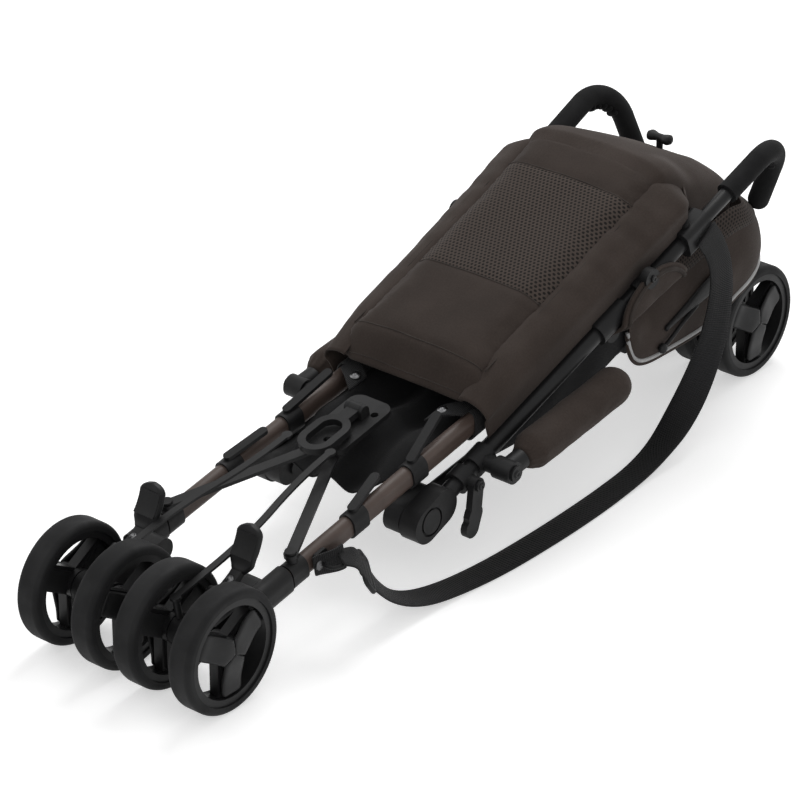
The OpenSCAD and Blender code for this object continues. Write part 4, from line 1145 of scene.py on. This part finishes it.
boltFoot, boltLow, boltHigh = [pedalPoint(pedalSet["boltAt"], r, 0) for r in pedalSet["boltR"]]
for side, s in sides.items():
    bm = loft(spoonShape, *pedalSet["grid"], closed=True, capped=True)
    joinMeshes(bm, lathe(pedalSet["bolt"], boltFoot, boltHigh - boltLow), 1)
    pieceFrom(forSide(bm, s), side + "PedalTread", "plastic_black", side + "_pedal",
              (finishes["plastic_black"], steel))
print("pedals made")


# bow shaped turning knob on the hood
bowSet = {"half": 17, "wide": 5, "wideOut": 3.4, "wideTip": 3.6, "high": 4.8, "highOut": 1.2, "highTip": 2.0,
          "wideRise": (0.15, 0.5), "wideFall": (0.72, 0.28), "highRise": (0.2, 0.5), "highFall": (0.75, 0.25),
          "tip": 0.94, "tipShare": 0.7, "grid": (20, 34)}


def bowShape(u, v):
    y = bowSet["half"] * (2 * v - 1)
    t = abs(y) / bowSet["half"]
    wide = bowSet["wide"] + bowSet["wideOut"] * rise(t, *bowSet["wideRise"])
    wide -= bowSet["wideTip"] * rise(t, *bowSet["wideFall"])
    high = bowSet["high"] + bowSet["highOut"] * rise(t, *bowSet["highRise"])
    high -= bowSet["highTip"] * rise(t, *bowSet["highFall"])
    if t > bowSet["tip"]:
        wide, high = wide * bowSet["tipShare"], high * bowSet["tipShare"]
    a = fullTurn * u
    return rowPoint(knobAt.x + wide * math.cos(a), y, knobAt.z + high * math.sin(a))


pieceFrom(loft(bowShape, *bowSet["grid"], closed=True, capped=True), "knobBow", "plastic_black", "knob")


# grips: finger ridges on the inside of each bend
gripSet = {"l": 622, "z": -44, "roll": 22, "at": (14, 31, 48, 65, 82), "r": 32.4, "dip": 1.2, "dipRate": 0.16,
           "across": (-9, 10, 2), "ridge": 0.0038, "tip": 0.35, "around": 10}


def gripPoint(angle, r, y, s):
    a, roll = math.radians(angle), math.radians(gripSet["roll"])
    l, z = gripSet["l"] + r * math.sin(a), gripSet["z"] + r * math.cos(a)
    y, z = y * math.cos(roll) + z * math.sin(roll), -y * math.sin(roll) + z * math.cos(roll)
    return mainPoint(l, s * (tubeY(l) + y), z)


for side, s in sides.items():
    bm = bmesh.new()
    for angle in gripSet["at"]:
        pts = [gripPoint(angle, gripSet["r"] - gripSet["dip"] * math.cos(gripSet["dipRate"] * y), y, s)
               for y in range(*gripSet["across"])]
        ridge = tubeShape(pts, gripSet["ridge"], gripSet["tip"])
        joinMeshes(bm, loft(ridge, gripSet["around"], len(pts) * 2, closed=True, capped=True))
    pieceFrom(bm, side + "GripRidges", "foam_black", side + "_main")
print("grips made")


# webbing loops round the legs at the hem, each with a riveted tail
loopSet = {"x": 446, "wide": 34, "halfW": 10.8, "halfH": 15.2, "skew": 5, "box": 0.8, "grid": (48, 8),
           "flat": (0.088, 0.034), "tail": 34, "tailIn": 1, "tailX": 6, "tailRun": 26, "tailWide": 0.9,
           "tailZ": 16.2,
           "tailBow": 3, "tailGrid": (8, 14), "tailFlat": (0.034, 0.045), "rivetAt": 0.74,
           "rivetLift": 0.0012, "cut": 0.034, "thick": 0.0022,
           "rivet": [(0, 3.2), (2.2, 2.8), (3.4, 1.6), (3.8, 1.5), (6.2, 1.1), (6.6, 0.2), (6.6, -2),
                     (0, -2)]}


def loopShape(u, v):
    a = fullTurn * u
    x = loopSet["x"] + (v - 0.5) * loopSet["wide"] + loopSet["skew"] * math.sin(a)
    y = loopSet["halfW"] * boxed(math.cos(a), loopSet["box"])
    return legPoint(x, lines["legY"] + y, loopSet["halfH"] * boxed(math.sin(a), loopSet["box"]))


def tailShape(u, v):
    x = loopSet["x"] - loopSet["tailX"] - loopSet["tailRun"] * v
    x += (u - 0.5) * loopSet["wide"] * loopSet["tailWide"]
    z = loopSet["tailZ"] + loopSet["tailBow"] * (math.sin(math.pi * v) - v)
    return legPoint(x, lines["legY"] - loopSet["tailIn"] - loopSet["tail"] * v, z)


for side, s in sides.items():
    bm = loft(loopShape, *loopSet["grid"], loopSet["flat"], closed=True)
    joinMeshes(bm, loft(tailShape, *loopSet["tailGrid"], loopSet["tailFlat"]))
    rivet = lathe(loopSet["rivet"], tailShape(0.5, loopSet["rivetAt"]) + legUp * loopSet["rivetLift"], legUp)
    obj = pieceFrom(forSide(bm, s), side + "LegLoop", "webbing_black", side + "_leg")
    head = pieceFrom(forSide(rivet, s), side + "LoopRivet", "bar_black", side + "_leg", (steel,))
    thicken(obj, loopSet["thick"])
print("leg loops made")


# strap hardware on the right leg: slider frame with its middle bar, and a sewn tab
sliderSet = {"at": 18, "half": 23, "high": 11, "corner": 5, "r": 0.0028, "barHalf": 21, "barR": 0.0030}


def framePoints(mid, wide, along, a, b, r):
    pts = []
    for cx, cy, start in ((a - r, b - r, 0), (r - a, b - r, 90), (r - a, r - b, 180), (a - r, r - b, 270)):
        for k in range(7):
            t = math.radians(start + 15 * k)
            pts.append(mid + (wide * (cx + r * math.cos(t)) + along * (cy + r * math.sin(t))) * mm)
    return pts + [pts[0]]


before, middle, after = strapPath[sliderSet["at"] - 1:sliderSet["at"] + 2]
wide = squareTo(strapWide[sliderSet["at"]], (after - middle).normalized())
along = (after - before).normalized()
sliderPts = framePoints(middle, wide, along, sliderSet["half"], sliderSet["high"], sliderSet["corner"])
bm = loft(tubeShape(sliderPts, sliderSet["r"]), 10, len(sliderPts) - 1, closed=True)
bar = [middle + wide * k * mm for k in span(-sliderSet["barHalf"], sliderSet["barHalf"], 20)]
joinMeshes(bm, rod(bar, sliderSet["barR"], 8))
pieceFrom(bm, "strapSlider", "plastic_black", "right_leg")

tabSet = {"x": 152, "long": 34, "out": 13.6, "spread": 12, "bow": 2, "bowRate": 3,
          "wide": 24, "widen": 8, "fall": 3,
          "grid": (8, 20), "flat": (0.03, 0.04), "rivetAt": 0.18, "rivetLift": 0.001, "cut": 0.03,
          "thick": 0.0024, "rivet": [(0, 2.6), (2.4, 2.4), (3, 1.4), (5.4, 1.2), (6, 0.3), (6, -2), (0, -2)]}


def tabShape(u, v):
    y = lines["legY"] + tabSet["out"] + tabSet["spread"] * smooth(v)
    y += tabSet["bow"] * math.sin(tabSet["bowRate"] * v)
    z = (u - 0.5) * (tabSet["wide"] + tabSet["widen"] * v) - tabSet["fall"] * v
    return legPoint(tabSet["x"] + tabSet["long"] * v, -y, z)


tab = pieceFrom(loft(tabShape, *tabSet["grid"], tabSet["flat"]), "strapTab", "webbing_black", "right_leg")
rivetPlace = tabShape(0.5, tabSet["rivetAt"]) - Vector((0, tabSet["rivetLift"], 0))
bm = lathe(tabSet["rivet"], rivetPlace, (0, -1, 0))
tabRivet = pieceFrom(bm, "tabRivet", "bar_black", "right_leg", (steel,))
thicken(tab, tabSet["thick"])
print("strap hardware made")


# screws in the pivots on the main tubes, and one in the hook's pin
screwSet = {"pivots": [(98, 165.6, 0, 4.6), (396, 144.5, 20, 4.2)], "hook": (66, -139.6, 0),
            "hookHead": [(0, 0.5), (1.6, 0.5), (1.8, 1.5), (3.2, 1.4), (4, 0.4), (4, -1.5), (0, -1.5)]}
for side, s in sides.items():
    bm = bmesh.new()
    for l, y, z, r in screwSet["pivots"]:
        profile = [(0, 0.5), (r * 0.45, 0.5), (r * 0.5, 1.4), (r * 0.8, 1.3), (r, 0.4), (r, -1.5), (0, -1.5)]
        joinMeshes(bm, lathe(profile, mainPoint(l, s * y, z), (0, s, 0)))
    if s < 0:
        joinMeshes(bm, lathe(screwSet["hookHead"], mainPoint(*screwSet["hook"]), (0, -1, 0)))
    pieceFrom(bm, side + "Screws", "bar_black", side + "_main")
print("screws made")


# every other solid keeps its shape and takes its finish
shown = {row["node"]: row["material_slot"] for row in frame["record"]["subparts"]}
for name, obj in frame["nodes"].items():
    if obj.hide_render:
        continue
    obj.data.materials.clear()
    obj.data.materials.append(finishes[shown[name]])
print("solids finished")


# floor, lamps and world: the white ground shows to the camera and in reflections, and lights nothing more
def seenBackground(tree):
    rays = tree.nodes.new("ShaderNodeLightPath").outputs
    seen = mathNode(tree, "MAXIMUM", rays["Is Camera Ray"], rays["Is Glossy Ray"])
    return mathNode(tree, "MAXIMUM", seen, rays["Is Transmission Ray"])


floorSet = {"size": 24, "tone": 0.84, "rough": 0.9, "specular": 0.1, "lift": 0.5}
bm = bmesh.new()
bmesh.ops.create_grid(bm, x_segments=4, y_segments=4, size=floorSet["size"] / 2)
floorMesh = bpy.data.meshes.new("floor")
bm.to_mesh(floorMesh)
bm.free()
floor = bpy.data.objects.new("floor", floorMesh)
scene.collection.objects.link(floor)
floorPaint, floorTree, paint, _ = newMaterial("floorPaint", floorSet["rough"], specular=floorSet["specular"])
paint.inputs["Base Color"].default_value = (floorSet["tone"],) * 3 + (1,)
paint.inputs["Emission Color"].default_value = (1, 1, 1, 1)
floorGlow = times(floorTree, seenBackground(floorTree), floorSet["lift"])
link(floorTree, floorGlow, paint.inputs["Emission Strength"])
floorMesh.materials.append(floorPaint)

lampSet = {
    "keyLamp": {"place": (1.6, 0.5, 2.8), "size": 1.8, "power": 47},
    "fillLamp": {"place": (-2.4, -2.6, 2.0), "size": 2.6, "power": 24},
    "sideLamp": {"place": (-1.2, 2.6, 2.2), "size": 2.0, "power": 16},
}
lampAim = Vector((0, 0, 0.1))
for name, row in lampSet.items():
    data = bpy.data.lights.new(name, "AREA")
    data.size = row["size"]
    data.energy = row["power"]
    lamp = bpy.data.objects.new(name, data)
    scene.collection.objects.link(lamp)
    lamp.location = row["place"]
    lamp.rotation_euler = (lampAim - lamp.location).to_track_quat("-Z", "Y").to_euler()

skySet = {"light": 0.44, "seen": 0.56}
world = bpy.data.worlds.new("studio")
scene.world = world
world.use_nodes = True
skyTree = world.node_tree
sky = skyTree.nodes["Background"]
sky.inputs["Color"].default_value = (1, 1, 1, 1)
skyLevel = mathNode(skyTree, "MULTIPLY_ADD", seenBackground(skyTree), skySet["seen"], skySet["light"])
link(skyTree, skyLevel, sky.inputs["Strength"])
print("stage made")
